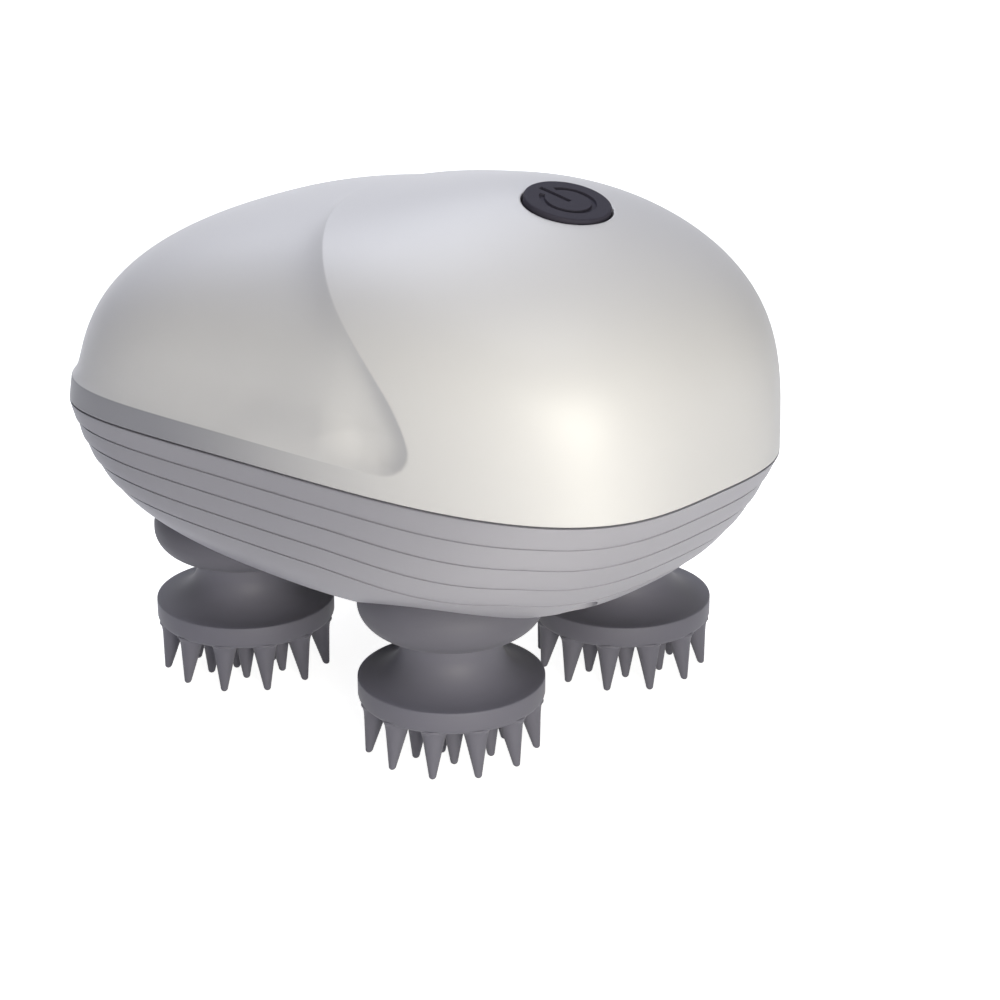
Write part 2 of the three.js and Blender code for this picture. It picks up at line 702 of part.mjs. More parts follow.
function powerButton() {
  const profile = [
    [0, 0],
    [BUTTON_R - 0.3, 0],
    [BUTTON_R, -0.3],
    [BUTTON_R, -BUTTON_SKIRT],
    [BUTTON_FLANGE_R, -BUTTON_SKIRT],
    [BUTTON_FLANGE_R, -flangeLow],
    [BUTTON_STUD_R, -flangeLow],
    [BUTTON_STUD_R, -studLow],
    [0, -studLow],
  ];
  const depth = 0.35;
  const body = solid(turned(profile.reverse(), 24));
  const arc = new THREE.Shape();
  const open = SYMBOL_OPEN * deg;
  arc.absarc(0, 0, SYMBOL_R + SYMBOL_HALF, Math.PI + open, 3 * Math.PI - open, false);
  arc.absarc(0, 0, SYMBOL_R - SYMBOL_HALF, 3 * Math.PI - open, Math.PI + open, true);
  const barFrom = -SYMBOL_R - 1.2;
  const barTo = 0.3;
  const bar = new THREE.BoxGeometry(barTo - barFrom, 2 * SYMBOL_HALF, 2);
  bar.translate((barFrom + barTo) / 2, 0, 1 - depth);
  const symbol = solid(plate(arc, -depth, 2, 7)).add(solid(bar));
  return body.subtract(symbol.rotate([0, 0, SYMBOL_TURN]));
}

// Soft ring under the button's flange, standing on the board
function buttonSeal() {
  const high = -flangeLow - BUTTON_TRAVEL - CLEARANCE;
  return solid(ring(BUTTON_FLANGE_R - BUTTON_SEAL_W, BUTTON_FLANGE_R, CLEARANCE - boardTop, high, 24));
}

function tactSwitch() {
  const low = CLEARANCE - boardTop;
  const box = new THREE.BoxGeometry(6, 6, 1.1).translate(0, 0, low + 0.55);
  return solid(box).subtract(solid(rod(1.7, low + 0.35, low + 3, 12)));
}

function switchPlunger() {
  return solid(rod(1.3, CLEARANCE - boardTop + 0.95, -studLow - 0.05, 12));
}

function controlBoard() {
  const s = roundedRect(-12.5, BOARD[0] - 12.5, -BOARD[1] / 2, BOARD[1] / 2, 2.5);
  let body = solid(plate(s, -BOARD_DEPTH, BOARD[2], 3));
  for (const y of boardScrewYs) {
    body = body.subtract(solid(rod(1.1, -20, 5, 8).translate(boardScrewX, y, 0)));
  }
  return body;
}

function boardScrew(y) {
  const low = -BOARD_DEPTH - CLEARANCE;
  const profile = [[0, low - 1.1], [1.9, low - 1.1], [1.9, low], [0.8, low], [0.8, 1 - boardTop], [0, 1 - boardTop]];
  return solid(turned(profile, 12).translate(boardScrewX, y, 0));
}

// Cell lying across the tail, on a cradle that stands on the upper plate
const cellZ = deckTopZ + CLEARANCE + CRADLE_FLOOR + CELL_R;

function cell() {
  const h = CELL_L / 2;
  const profile = [
    [0, -h],
    [CELL_R - 0.6, -h],
    [CELL_R, -h + 0.6],
    [CELL_R, h - 0.6],
    [CELL_R - 0.6, h],
    [3, h],
    [3, h + 1],
    [0, h + 1],
  ];
  return solid(turned(profile, 22).rotateX(-Math.PI / 2).translate(cellX, 0, cellZ));
}

function cradle() {
  const foot = deckTopZ + CLEARANCE;
  const box = new THREE.BoxGeometry(2 * CELL_R, CRADLE_L, CRADLE_H).translate(cellX, 0, foot + CRADLE_H / 2);
  const trough = rod(CELL_R + CLEARANCE, -CRADLE_L, CRADLE_L, 22).rotateX(Math.PI / 2);
  return solid(box).subtract(solid(trough.translate(cellX, 0, cellZ)));
}

// Leads as round tubes along a smooth path
function lead(points) {
  const path = new THREE.CatmullRomCurve3(points.map((p) => new THREE.Vector3(...p)));
  const round = new THREE.Shape().absarc(0, 0, 0.6, 0, 2 * Math.PI);
  const options = { steps: 8, extrudePath: path, bevelEnabled: false, curveSegments: 3 };
  return solid(new THREE.ExtrudeGeometry(round, options));
}

// Case screw with a slot in its head
function caseScrew() {
  const profile = [
    [0, screwHeadZ],
    [SCREW_HEAD_R - 0.3, screwHeadZ],
    [SCREW_HEAD_R, screwHeadZ + 0.3],
    [SCREW_HEAD_R, screwHeadZ + 2],
    [SCREW_R, screwHeadZ + 2],
    [SCREW_R, screwTopZ],
    [0, screwTopZ],
  ];
  const slot = new THREE.BoxGeometry(3.6, 0.7, 1.6).translate(0, 0, screwHeadZ);
  return solid(turned(profile, 12)).subtract(solid(slot));
}

// Charging contacts in the floor
const CONTACT_R = 2;
const contactXs = [driveX - 5, driveX + 5];

function contact() {
  const seat = FLOOR_Z + WALL + CLEARANCE;
  const profile = [
    [0, FLOOR_Z + 0.2],
    [CONTACT_R, FLOOR_Z + 0.2],
    [CONTACT_R, seat],
    [CONTACT_R + 1, seat],
    [CONTACT_R + 1, seat + 0.8],
    [0, seat + 0.8],
  ];
  return solid(turned(profile, 12));
}

// Assembly
const group = new THREE.Group();
group.name = "scalp_massager";

function place(name, body, look, move) {
  const material = new THREE.MeshStandardMaterial({
    color: look[0],
    roughness: look[1],
    metalness: look[2],
  });
  const mesh = new THREE.Mesh(geometryOf(body), material);
  if (move) mesh.applyMatrix4(move);
  mesh.name = name;
  group.add(mesh);
}

const SHELL = [0xc4c4c8, 0.42, 0];
const LOWER = [0xb0b0b8, 0.45, 0];
const RUBBER = [0x5e5e68, 0.62, 0];
const DARK = [0x48464f, 0.5, 0];
const STEEL = [0xb9bcc2, 0.3, 1];
const BRASS = [0xc9a24b, 0.3, 1];
const GEAR = [0xe8e2d2, 0.5, 0];
const BOARD_GREEN = [0x1f5a3a, 0.5, 0];
const moved = (x, y) => new THREE.Matrix4().makeTranslation(x, y, 0);

place("upper_shell", upperShell(), SHELL);
place("lower_shell", lowerShell(), LOWER);
place("case_seal", caseSeal(), DARK);
place("power_button", powerButton(), DARK, tilt);
place("button_seal", buttonSeal(), RUBBER, tilt);
place("switch_plunger", switchPlunger(), DARK, tilt);
place("tact_switch", tactSwitch(), STEEL, tilt);
place("control_board", controlBoard(), BOARD_GREEN, tilt);
boardScrewYs.forEach((y, i) => place("board_screw_" + (i + 1), boardScrew(y), STEEL, tilt));
place("battery_cell", cell(), [0x2f6fb3, 0.4, 0]);
place("battery_cradle", cradle(), DARK);
place("geared_motor", gearedMotor(), STEEL);
place("motor_pinion", pinion(), BRASS, moved(motorX, 0));
const sun = solid(plate(gear(SUN_TEETH, 0), gearZ, GEAR_H));
place("sun_gear", bored(sun, AXLE_R + CLEARANCE, gearZ, gearZ + GEAR_H), GEAR, moved(driveX, 0));
place("sun_axle", solid(rod(AXLE_R, plateZ, deckTopZ, 14)), STEEL, moved(driveX, 0));
place("gear_plate_lower", lowerPlate(), DARK);
place("gear_plate_upper", upperPlate(), DARK);
for (const h of heads) {
  const at = moved(h.x, h.y);
  const shaft = rod(SHAFT_R, HUB_Z, deckTopZ - 0.5, 14);
  place("head_gear_" + h.name, headGear(h), GEAR, at);
  place("drive_shaft_" + h.name, solid(shaft), STEEL, at);
  place("bush_" + h.name, bush(), BRASS, at);
  place("collar_" + h.name, collar(h), RUBBER, at);
  place("massage_head_" + h.name, massageHead(), RUBBER, at);
  place("head_hub_" + h.name, solid(ring(SHAFT_R + CLEARANCE, HUB_R, HUB_Z, NECK_TOP_Z, 16)), DARK, at);
}
screwXs.forEach((x, i) =>
  [-SCREW_Y, SCREW_Y].forEach((y, j) =>
    place("case_screw_" + (2 * i + j + 1), caseScrew(), STEEL, moved(x, y)),
  ),
);
contactXs.forEach((x, i) => place("charge_contact_" + (i + 1), contact(), BRASS, moved(x, 0)));
const motorTop = deckTopZ + CLEARANCE + MOTOR_H;
const cellEnd = CELL_L / 2 + 1.9;
const leadStart = new THREE.Vector3(cellX + 8, cellEnd + 0.5, cellZ + 6);
const leadEnd = new THREE.Vector3(-7.5, 7, -BOARD_DEPTH - CLEARANCE).applyMatrix4(tilt);
const leadTurn = new THREE.Vector3(-7.5, 7, -BOARD_DEPTH - 3.5).applyMatrix4(tilt);
place("battery_lead", lead([
  [cellX, cellEnd, cellZ],
  leadStart.toArray(),
  leadStart.clone().lerp(leadTurn, 0.5).toArray(),
  leadTurn.toArray(),
  leadEnd.toArray(),
]), [0x9a2b2b, 0.5, 0]);
place("motor_lead", lead([
  [motorX - 3, 4, motorTop + 0.9],
  [motorX - 5.5, 4, motorTop + 1.9],
  [motorX - 6, 4, motorTop + 3],
]), [0x222226, 0.5, 0]);

export default group;
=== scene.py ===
# %% [markdown]
# Electric scalp massager
#
# A massager for one hand: an egg-shaped case of two shells, a power button in its top, and four
# soft heads below that turn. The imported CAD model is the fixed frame. Its solids have the right
# sizes and joints but are faceted, so fine surfaces stand in for the pieces that are seen, and
# every piece gets a procedural material.
#
# Lengths are in millimetres, as on a drawing. x runs from the tail to the blunt end, y to the far
# side, and z up from the nub tips. `MM` turns them into Blender's metres when a mesh is made.

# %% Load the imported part
import json
from math import cos, degrees, pi, radians, sin

import bpy
import numpy as np
from mathutils import Matrix


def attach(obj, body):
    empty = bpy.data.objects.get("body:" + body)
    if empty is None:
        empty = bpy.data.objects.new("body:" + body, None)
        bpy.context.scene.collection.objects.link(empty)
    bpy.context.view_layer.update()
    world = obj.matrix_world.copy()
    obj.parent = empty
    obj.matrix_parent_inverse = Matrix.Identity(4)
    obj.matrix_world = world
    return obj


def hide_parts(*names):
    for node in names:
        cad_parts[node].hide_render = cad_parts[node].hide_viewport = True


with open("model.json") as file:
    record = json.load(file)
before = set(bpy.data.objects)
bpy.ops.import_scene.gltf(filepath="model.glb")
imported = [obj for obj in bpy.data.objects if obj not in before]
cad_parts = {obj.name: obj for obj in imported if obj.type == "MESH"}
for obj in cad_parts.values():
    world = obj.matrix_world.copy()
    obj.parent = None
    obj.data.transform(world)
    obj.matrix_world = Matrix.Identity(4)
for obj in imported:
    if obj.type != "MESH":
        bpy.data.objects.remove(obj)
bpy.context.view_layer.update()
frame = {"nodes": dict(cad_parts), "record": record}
MM = 0.001

# %% [markdown]
# Each fine surface is an array of points in rows and columns, a function of two parameters. A
# piece could also be modelled by hand and subdivided. A formula on a dense grid is used instead,
# because it keeps edges round, needs no modifier and follows the sizes when they change. All
# quads come from index arrays in one go, and a signed volume tells which way they look.

# %% From grid to mesh
SHARP = radians(38)


def shaded(mesh):
    """The same mesh, drawn smooth except at edges that turn by more than SHARP."""
    mesh.shade_smooth()
    mesh.set_sharp_from_angle(angle=SHARP)
    return mesh


def signed_volume(points, groups):
    """Sum of a . (b x c) over the triangles of every face; over 0 where faces look outwards."""
    total = 0.0
    for faces in groups:
        for k in range(1, faces.shape[1] - 1):
            a, b, c = points[faces[:, 0]], points[faces[:, k]], points[faces[:, k + 1]]
            total += (a * np.cross(b, c)).sum()
    return total


def grid_mesh(name, grid, close_rows=False, close_columns=True, caps=()):
    """Quads between the neighbours of an array [rows, columns, 3] in millimetres. Each of caps,
    "first" or "last", is a fan that closes that row at its middle."""
    rows, columns = grid.shape[:2]
    points = grid.reshape(-1, 3) * MM
    along = np.arange(columns if close_columns else columns - 1)
    i, j = np.meshgrid(np.arange(rows if close_rows else rows - 1), along, indexing="ij")
    row, next_row, next_column = i * columns, (i + 1) % rows * columns, (j + 1) % columns
    quads = np.stack([row + j, row + next_column, next_row + next_column, next_row + j], -1)
    groups = [quads.reshape(-1, 4)]
    for cap in caps:
        start = 0 if cap == "first" else (rows - 1) * columns
        a, b = start + along, start + (along + 1) % columns
        middle = np.full_like(a, len(points))
        points = np.vstack([points, points[start:start + columns].mean(0)])
        groups.append(np.stack([b, a, middle] if cap == "first" else [a, b, middle], -1))
    mesh = bpy.data.meshes.new(name)
    mesh.from_pydata(points.tolist(), [], [face for faces in groups for face in faces.tolist()])
    if signed_volume(points, groups) < 0:
        mesh.flip_normals()
    return shaded(mesh)


print(f"edges over {degrees(SHARP):.0f} degrees are drawn sharp, the others smooth")

# %% [markdown]
# Some pieces are put together from several surfaces, and only the holes and posts of the bowl need
# a Boolean. A lathe shape is a profile of radius and height carried round an upright axis. A Screw
# modifier could do it too, but as an array it stays in the same form as the other surfaces.

# %% Join, cut and turn
def points_of(mesh):
    """Array [points, 3] of a mesh, in metres."""
    flat = np.empty(len(mesh.vertices) * 3)
    mesh.vertices.foreach_get("co", flat)
    return flat.reshape(-1, 3)


def faces_of(mesh):
    """Point numbers of every face: one long row, split where each face starts."""
    corners = np.empty(len(mesh.loops), np.int32)
    starts = np.empty(len(mesh.polygons), np.int32)
    mesh.loops.foreach_get("vertex_index", corners)
    mesh.polygons.foreach_get("loop_start", starts)
    return np.split(corners, starts[1:])


def join(name, meshes):
    """One mesh from several, points and faces put one after another."""
    points, faces, start = [], [], 0
    for mesh in meshes:
        points.append(points_of(mesh))
        faces += [(face + start).tolist() for face in faces_of(mesh)]
        start += len(mesh.vertices)
        bpy.data.meshes.remove(mesh)
    joined = bpy.data.meshes.new(name)
    joined.from_pydata(np.vstack(points).tolist(), [], faces)
    return shaded(joined)


def cut(mesh, cutters, operation="DIFFERENCE"):
    """Mesh less the cutter meshes, or what lies in them, by one Boolean applied at once."""
    pieces = [bpy.data.objects.new("body", mesh), bpy.data.objects.new("tool", join("tool", cutters))]
    for piece in pieces:
        bpy.context.scene.collection.objects.link(piece)
    body, tool = pieces
    boolean = body.modifiers.new("cut", "BOOLEAN")
    boolean.object, boolean.operation, boolean.solver = tool, operation, "EXACT"
    graph = bpy.context.evaluated_depsgraph_get()
    result = bpy.data.meshes.new_from_object(body.evaluated_get(graph))
    for piece in pieces:
        spent = piece.data
        bpy.data.objects.remove(piece)
        bpy.data.meshes.remove(spent)
    return shaded(result)


def turned(name, profile, segments, centre=(0, 0), close=True):
    """Surface (r cos t, r sin t, z) of a profile of [r, z] rows about an upright axis."""
    profile = np.asarray(profile, float)
    t = np.linspace(0, 2 * pi, segments, endpoint=False)
    r, z = profile[:, :1], profile[:, 1:]
    grid = np.stack([centre[0] + r * np.cos(t), centre[1] + r * np.sin(t), z + 0 * t], -1)
    return grid_mesh(name, grid, close_rows=close, caps=() if close else ("first", "last"))


def measured(mesh):
    """The same mesh, after a line with its faces and size in millimetres."""
    size = " x ".join(f"{length:.2f}" for length in np.ptp(points_of(mesh), axis=0) / MM)
    print(f"{mesh.name}: {len(mesh.polygons)} faces, {size} mm")
    return mesh


print(len(frame["nodes"]), "CAD pieces to dress")

# %% [markdown]
# Seen from above, the case is an egg that is broad at the tail and narrower at the blunt end, and
# every level of it is a smaller egg. From the side, the tail is low and the blunt end high. The case
# could be sculpted, but rings keep the parting line and the grooves level. A point of a ring
# is at u, -1 at the tail and 1 at the blunt end, and its half width is
# (1 + taper u)(1 - |u|^p)^(1/q). From the seam to the end of a shell, s goes from 0 to 1, the
# ring shrinks by (1 - s^a)^(1/b), and its exponents ease to those of an ellipse.
#
# The width is a hundredth of a millimetre less than in the CAD source, so that the fine surface
# stays inside the solids' box.

# %% Rings of the case
LENGTH, WIDTH, WALL = 110.0, 79.99, 2.4
TAIL_P, TAIL_Q, BLUNT_P, BLUNT_Q, TAPER = 6.27, 4.41, 3.23, 3.39, -0.13
DOME = dict(middle=-0.55, tail=(2.95, 3.2, 0.0), blunt=(3.72, 3.71, 0.0),
            side=(3.72, 3.89, 0.0), ease=0.815, square=2.0)
BOWL = dict(middle=-10.9, tail=(3.05, 0.6, 0.847), blunt=(0.96, 2.2, 0.678),
            side=(5.71, 0.8, 0.766), ease=1.27, square=2.4)


def ring_width(u, k, square):
    """Half width of a ring, 1 wide at its seam; k eases it from the seam (1) to its end (0)."""
    p = square + (np.where(u < 0, TAIL_P, BLUNT_P) - square) * k
    q = square + (np.where(u < 0, TAIL_Q, BLUNT_Q) - square) * k
    return (1 + TAPER * k * u) * np.clip(1 - np.abs(u) ** p, 0, 1) ** (1 / q)


def shrink(form, key, s):
    """Share of a length that is left at level s: left + (1 - left)(1 - s^a)^(1/b)."""
    a, b, left = form[key]
    return left + (1 - left) * np.clip(1 - s ** a, 0, 1) ** (1 / b)


def ends(form, s, inset):
    """Middle and half length of the ring at level s, drawn in by an inset."""
    tail = form["middle"] - (LENGTH / 2 - inset + form["middle"]) * shrink(form, "tail", s)
    blunt = form["middle"] + (LENGTH / 2 - inset - form["middle"]) * shrink(form, "blunt", s)
    return (tail + blunt) / 2, (blunt - tail) / 2


EASES = np.linspace(0, 1, 201)
for form in (DOME, BOWL):
    form["widest"] = ring_width(np.linspace(-1, 1, 801), EASES[:, None], form["square"]).max(1)


def half_width(form, u, s, inset):
    """Half width of the ring at level s, at u along it: its shape over the shape's widest place."""
    k = np.clip(1 - s, 0, 1) ** form["ease"]
    shape = ring_width(u, k, form["square"]) / np.interp(k, EASES, form["widest"])
    return (WIDTH / 2 - inset) * shrink(form, "side", s) * shape


for label, form in (("dome", DOME), ("bowl", BOWL)):
    middle, half = ends(form, 0.5, 0)
    print(f"{label}, half way: {2 * half:.1f} mm long, middle at x {middle:.1f} mm")

# %% [markdown]
# Both shells meet at the seam. Rings alone would leave the dome too flat at the button. So it
# carries a smooth crown, a Gaussian hill, whose slope there is the button's own. A point can be
# asked for by its ring and level, or by its place in plan. Then its level is found by halving, again
# and again, the range in which it must lie.

# %% Points on the dome and the bowl
SEAM_Z, DOME_RISE, FLOOR_Z = 44.25, 32.6, 23.0
CROWN_RISE, CROWN_X, CROWN_LONG, CROWN_WIDE, CROWN_FADE = 7.41, 18.2, 29.8, 27.3, 0.3
HALVINGS, TINY = 44, 1e-9


def rise(value, start, run):
    """3t^2 - 2t^3 of the share t of a run that value has gone past its start: 0 before, 1 after."""
    t = np.clip((value - start) / run, 0, 1)
    return t * t * (3 - 2 * t)


def crown(x, y, s):
    """Gaussian hill of the dome, faded out near the seam."""
    away = ((x - CROWN_X) / CROWN_LONG) ** 2 + (y / CROWN_WIDE) ** 2
    return CROWN_RISE * np.exp(-away) * rise(s, 0, CROWN_FADE)


def case_point(form, u, side, s, inset=0.0):
    """Point of the dome or the bowl at u on the near (-1) or far (1) side, at level s."""
    u, side, s = np.broadcast_arrays(u, side, s)
    middle, half = ends(form, s, inset)
    x = middle + half * u
    y = side * half_width(form, u, s, inset)
    if form is DOME:
        z = SEAM_Z + (DOME_RISE - inset) * s
        return np.stack([x, y, z + crown(x, y, s)], -1)
    return np.stack([x, y, SEAM_Z - (SEAM_Z - FLOOR_Z - inset) * s], -1)


def dome_over(x, y):
    """Dome over a plan point. Its level s is found by halving: inside a ring, s can grow."""
    low, high = np.zeros_like(x), np.ones_like(x)
    for _ in range(HALVINGS):
        s = (low + high) / 2
        middle, half = ends(DOME, s, 0)
        u = (x - middle) / np.maximum(half, TINY)
        inside = (np.abs(u) < 1) & (half_width(DOME, np.clip(u, -1, 1), s, 0) > np.abs(y))
        low, high = np.where(inside, s, low), np.where(inside, high, s)
    s = (low + high) / 2
    return np.stack([x, y, SEAM_Z + DOME_RISE * s + crown(x, y, s)], -1)


for place in (-40.0, 0.0, 48.0):
    print(f"bare dome at x {place:.0f} mm: {dome_over(np.array([place]), np.zeros(1))[0, 2]:.2f} mm high")

# %% [markdown]
# The dome is cut back round the tail and leaves a tongue standing, which ends low on the side in a
# round lobe. A Boolean with a cutter would do, but leaves no soft run-out and no control of where
# the faces lie. So the scoop is a distance: how far a point lies inside its edge. The tongue's edge
# is x against the angle tau round the case. The lobe is the soft least of the distances to that
# edge and to the lobe's own end, and a round corner joins it to its foot.

# %% Distance inside the scoop
TONGUE_TIP_X, TONGUE_SPREAD, TONGUE_LEAN = -13.55, 0.0092, 0.028
LOBE_END_X, LOBE_ROUND, LOBE_CORNER = 26.8, 4.0, 6.0
LOBE_FOOT_Z, FOOT_X, FOOT_SLOPE = 48.4, 9, 0.8


def round_angle(p):
    """Angle tau of a point round the case, 0 at the top and 90 degrees at the seam."""
    return np.degrees(np.arctan2(np.abs(p[..., 1]), np.maximum(p[..., 2] - SEAM_Z, 1e-6)))


def inside_scoop(p):
    """Distance into the scoop, less than 0 on the tongue: the soft least of the distances to the
    tongue's edge and the lobe's end, with a corner of LOBE_CORNER between that and the foot."""
    x, z, tau = p[..., 0], p[..., 2], round_angle(p)
    edge = (TONGUE_TIP_X + TONGUE_SPREAD * tau ** 2 - x) / np.hypot(1, TONGUE_LEAN * tau)
    foot = z - LOBE_FOOT_Z + FOOT_SLOPE * np.maximum(0, FOOT_X - x)
    front = -LOBE_ROUND * np.logaddexp(-edge / LOBE_ROUND, (x - LOBE_END_X) / LOBE_ROUND)
    past = np.hypot(np.maximum(LOBE_CORNER - front, 0), np.maximum(LOBE_CORNER - foot, 0))
    return np.where(past > 0, LOBE_CORNER - past, np.minimum(front, foot))


for tau in (0, 30, 60):
    print(f"tongue's edge {tau} degrees round: x {TONGUE_TIP_X + TONGUE_SPREAD * tau ** 2:.1f} mm")

# %% [markdown]
# In the photo the wall is darkest right beside the tongue and pales away from it. So the depth
# starts at a crisp edge and runs out as 1 - exp(-(d / run)^power). It is deeper on the sides than
# at the top. The strip of the dome next to the seam isn't cut, so that the scoop ends over it in a
# narrow ledge, which widens and gives way to the lobe's foot. A modelled loop of edges could be
# pushed in too, but a formula lets depth and edge change apart. Each pair of numbers below is where
# a rise starts and how long it takes.

# %% Depth of the scoop
SCOOP_DEPTH, SIDE_DEPTH, EDGE_SOFT, SCOOP_AIM = 0.95, 1.6, 0.07, (6, 0, SEAM_Z + 4)
DEEPER_BY_ANGLE, DEEPER_BY_X = (28, 27), (-42, 30)
LEDGE_Z, LEDGE_RUN, LEDGE_WIDER, WIDER_BY_X = 48.3, 1.0, 5, (-12, 22)
HIGH_BY_Z, HIGH_BY_X, HIGH_AT_LOBE = (LEDGE_Z, 9), (2, 15), 0.8
WALL_RUN, WALL_POWER = dict(top=1.3, middle=3.5, lobe=1.9), 1.2
RUN_BY_ANGLE, RUN_BY_X, LOBE_BY_X = (22, 28), (11, 9), (FOOT_X, 8)


def ramp(distance):
    """Distance where it is over 0 and 0 elsewhere, with a turn as tight as EDGE_SOFT."""
    return np.logaddexp(0, distance / EDGE_SOFT) * EDGE_SOFT


def scoop_depth(p):
    """Depth (1 - exp(-(d / run)^power)) of the scoop, times the shelf's own ramp over the ledge."""
    x, z, tau = p[..., 0], p[..., 2], round_angle(p)
    high = np.maximum(rise(z, *HIGH_BY_Z), HIGH_AT_LOBE * rise(x, *HIGH_BY_X))
    deeper = rise(tau, *DEEPER_BY_ANGLE) * rise(x, *DEEPER_BY_X) * high
    depth = SCOOP_DEPTH + SIDE_DEPTH * deeper
    shelf = 1 - np.exp(-ramp(z - LEDGE_Z) / (LEDGE_RUN + LEDGE_WIDER * rise(x, *WIDER_BY_X)))
    run = WALL_RUN["top"] + (WALL_RUN["middle"] - WALL_RUN["top"]) * rise(tau, *RUN_BY_ANGLE)
    run = run + (WALL_RUN["lobe"] - run) * rise(x, *RUN_BY_X)
    wall = 1 - np.exp(-(ramp(inside_scoop(p)) / run) ** WALL_POWER)
    return depth * wall * (shelf + (1 - shelf) * rise(x, *LOBE_BY_X))


def scooped(p, guide=None):
    """Points moved by the scoop's depth, at themselves or at a guide, towards a place in the case."""
    depth = scoop_depth(p if guide is None else guide)
    inward = np.array(SCOOP_AIM) - p
    inward /= np.linalg.norm(inward, axis=-1, keepdims=True)
    return p + inward * depth[..., None]


for label, place in (("behind the tongue's tip", (-20, -9, 78)), ("middle of the side", (5, -36, 65)),
                     ("lobe", (21, -37, 53))):
    print(f"scoop {label}: {scoop_depth(np.array(place, float)):.2f} mm deep")

# %% [markdown]
# The button sits on the crown and leans to the blunt end with it, so it is drawn in a frame of its
# own: face at z = 0, turned by the tilt and set in its place. The round hole in the dome is found
# in that frame too, because a hole that is round about a leaning axis isn't round in plan. Its
# face stands a hundredth of a millimetre lower than in the CAD, inside the solids' box.

# %% Button's frame and the hole round it
BUTTON_X, BUTTON_TOP_Z, TILT, STANDS_OUT = 25.7, 83.49, radians(12.7), 0.9
BUTTON_R, BUTTON_GAP, HOLE_FILLET, HOLE_ROUNDS = 6.7, 0.3, 0.2, 12
HOLE_R = BUTTON_R + BUTTON_GAP


def tilted(local):
    """Points in the button's own frame, face at z = 0, moved to the case."""
    x, y, z = local[..., 0], local[..., 1], local[..., 2]
    out = BUTTON_X + x * cos(TILT) + z * sin(TILT)
    return np.stack([out, y, BUTTON_TOP_Z - x * sin(TILT) + z * cos(TILT)], -1)


def about_button(radius, angle, height):
    """Points (r cos a, r sin a, h) of the button's own frame, moved to the case."""
    return tilted(np.stack([radius * np.cos(angle), radius * np.sin(angle), height], -1))


def hole_edge(radius, angle):
    """Where a round hole about the button's axis meets the dome, and at what height in the
    button's frame. In HOLE_ROUNDS rounds, the height changes by what is missing to the dome."""
    height = np.full_like(angle, -STANDS_OUT)
    for _ in range(HOLE_ROUNDS):
        p = about_button(radius, angle, height)
        height = height + (dome_over(p[:, 0], p[:, 1])[:, 2] - p[:, 2]) / cos(TILT)
    return about_button(radius, angle, height), height


_, heights = hole_edge(HOLE_R, np.radians([0.0, 90.0, 180.0]))
print("the button's face stands over the dome by", np.round(-heights, 2), "mm: blunt end, side, tail")

# %% [markdown]
# Columns run from the button's hole down to the seam. Near the top they are straight lines in plan,
# from the hole to a ring, so that the hole is round without a cut; below they follow the rings. On
# each column the places where the scoop starts and where the ledge lies are found, and the rows are
# gathered there. An even grid would blur both lines into a row of steps.

# %% Columns and gathered rows
TOP_LEVEL, SCAN_ROWS, OUTLINE_POINTS = 0.62, 150, 20001
EDGE_SHARES = (0.1, 0.95)
CLOSE_X, CLOSE_RUN, CLOSER = 23, 5, 2
TONGUE_ROWS, SCOOP_ROWS, STRIP_ROWS = (60, 1.15, 1.6), (63, 1.6, 1.5), (20, 1.4, 1.0)


def stations(count):
    """Columns along the seam outline, closer together at the lobe's end: u and side of each."""
    u = -np.cos(np.linspace(0, pi, OUTLINE_POINTS))
    x, y = LENGTH / 2 * u, half_width(DOME, u, np.zeros_like(u), 0)
    close = 1 + CLOSER * np.exp(-((x[1:] - CLOSE_X) / CLOSE_RUN) ** 2)
    run = np.concatenate([[0], np.cumsum(np.hypot(np.diff(x), np.diff(y)) * close)])
    us = np.interp(np.linspace(0, run[-1], count // 2 + 1), run, u)
    us[0], us[-1] = -1, 1
    side = np.concatenate([-np.ones(len(us)), np.ones(len(us) - 2)])
    return np.concatenate([us, us[-2:0:-1]]), side


def column_point(w, hole, ring, u, side):
    """Bare dome on a column: w from 0 to 1 goes from hole to ring in plan, 1 to 2 to the seam."""
    plan = hole[None, :, :2] + (ring - hole)[None, :, :2] * np.clip(w, 0, 1)[..., None]
    over = dome_over(plan[..., 0], plan[..., 1])
    below = case_point(DOME, u[None], side[None], TOP_LEVEL * (2 - np.maximum(w, 1)))
    return np.where((w < 1)[..., None], over, below)


def first_rise(run, value):
    """Length along each column at which value first goes over 0, and whether it does."""
    over = (value[1:] > 0) & (value[:-1] <= 0)
    k, j = over.argmax(0), np.arange(value.shape[1])
    share = -value[k, j] / np.where(over.any(0), value[k + 1, j] - value[k, j], 1)
    return run[k, j] + share * (run[k + 1, j] - run[k, j]), over.any(0)


def cluster(count, start, end):
    """Steps v^a / (v^a + (1 - v)^b) from 0 to 1; an exponent over 1 makes that end finer."""
    v = np.linspace(0, 1, count)[:, None]
    return v ** start / (v ** start + (1 - v) ** end)


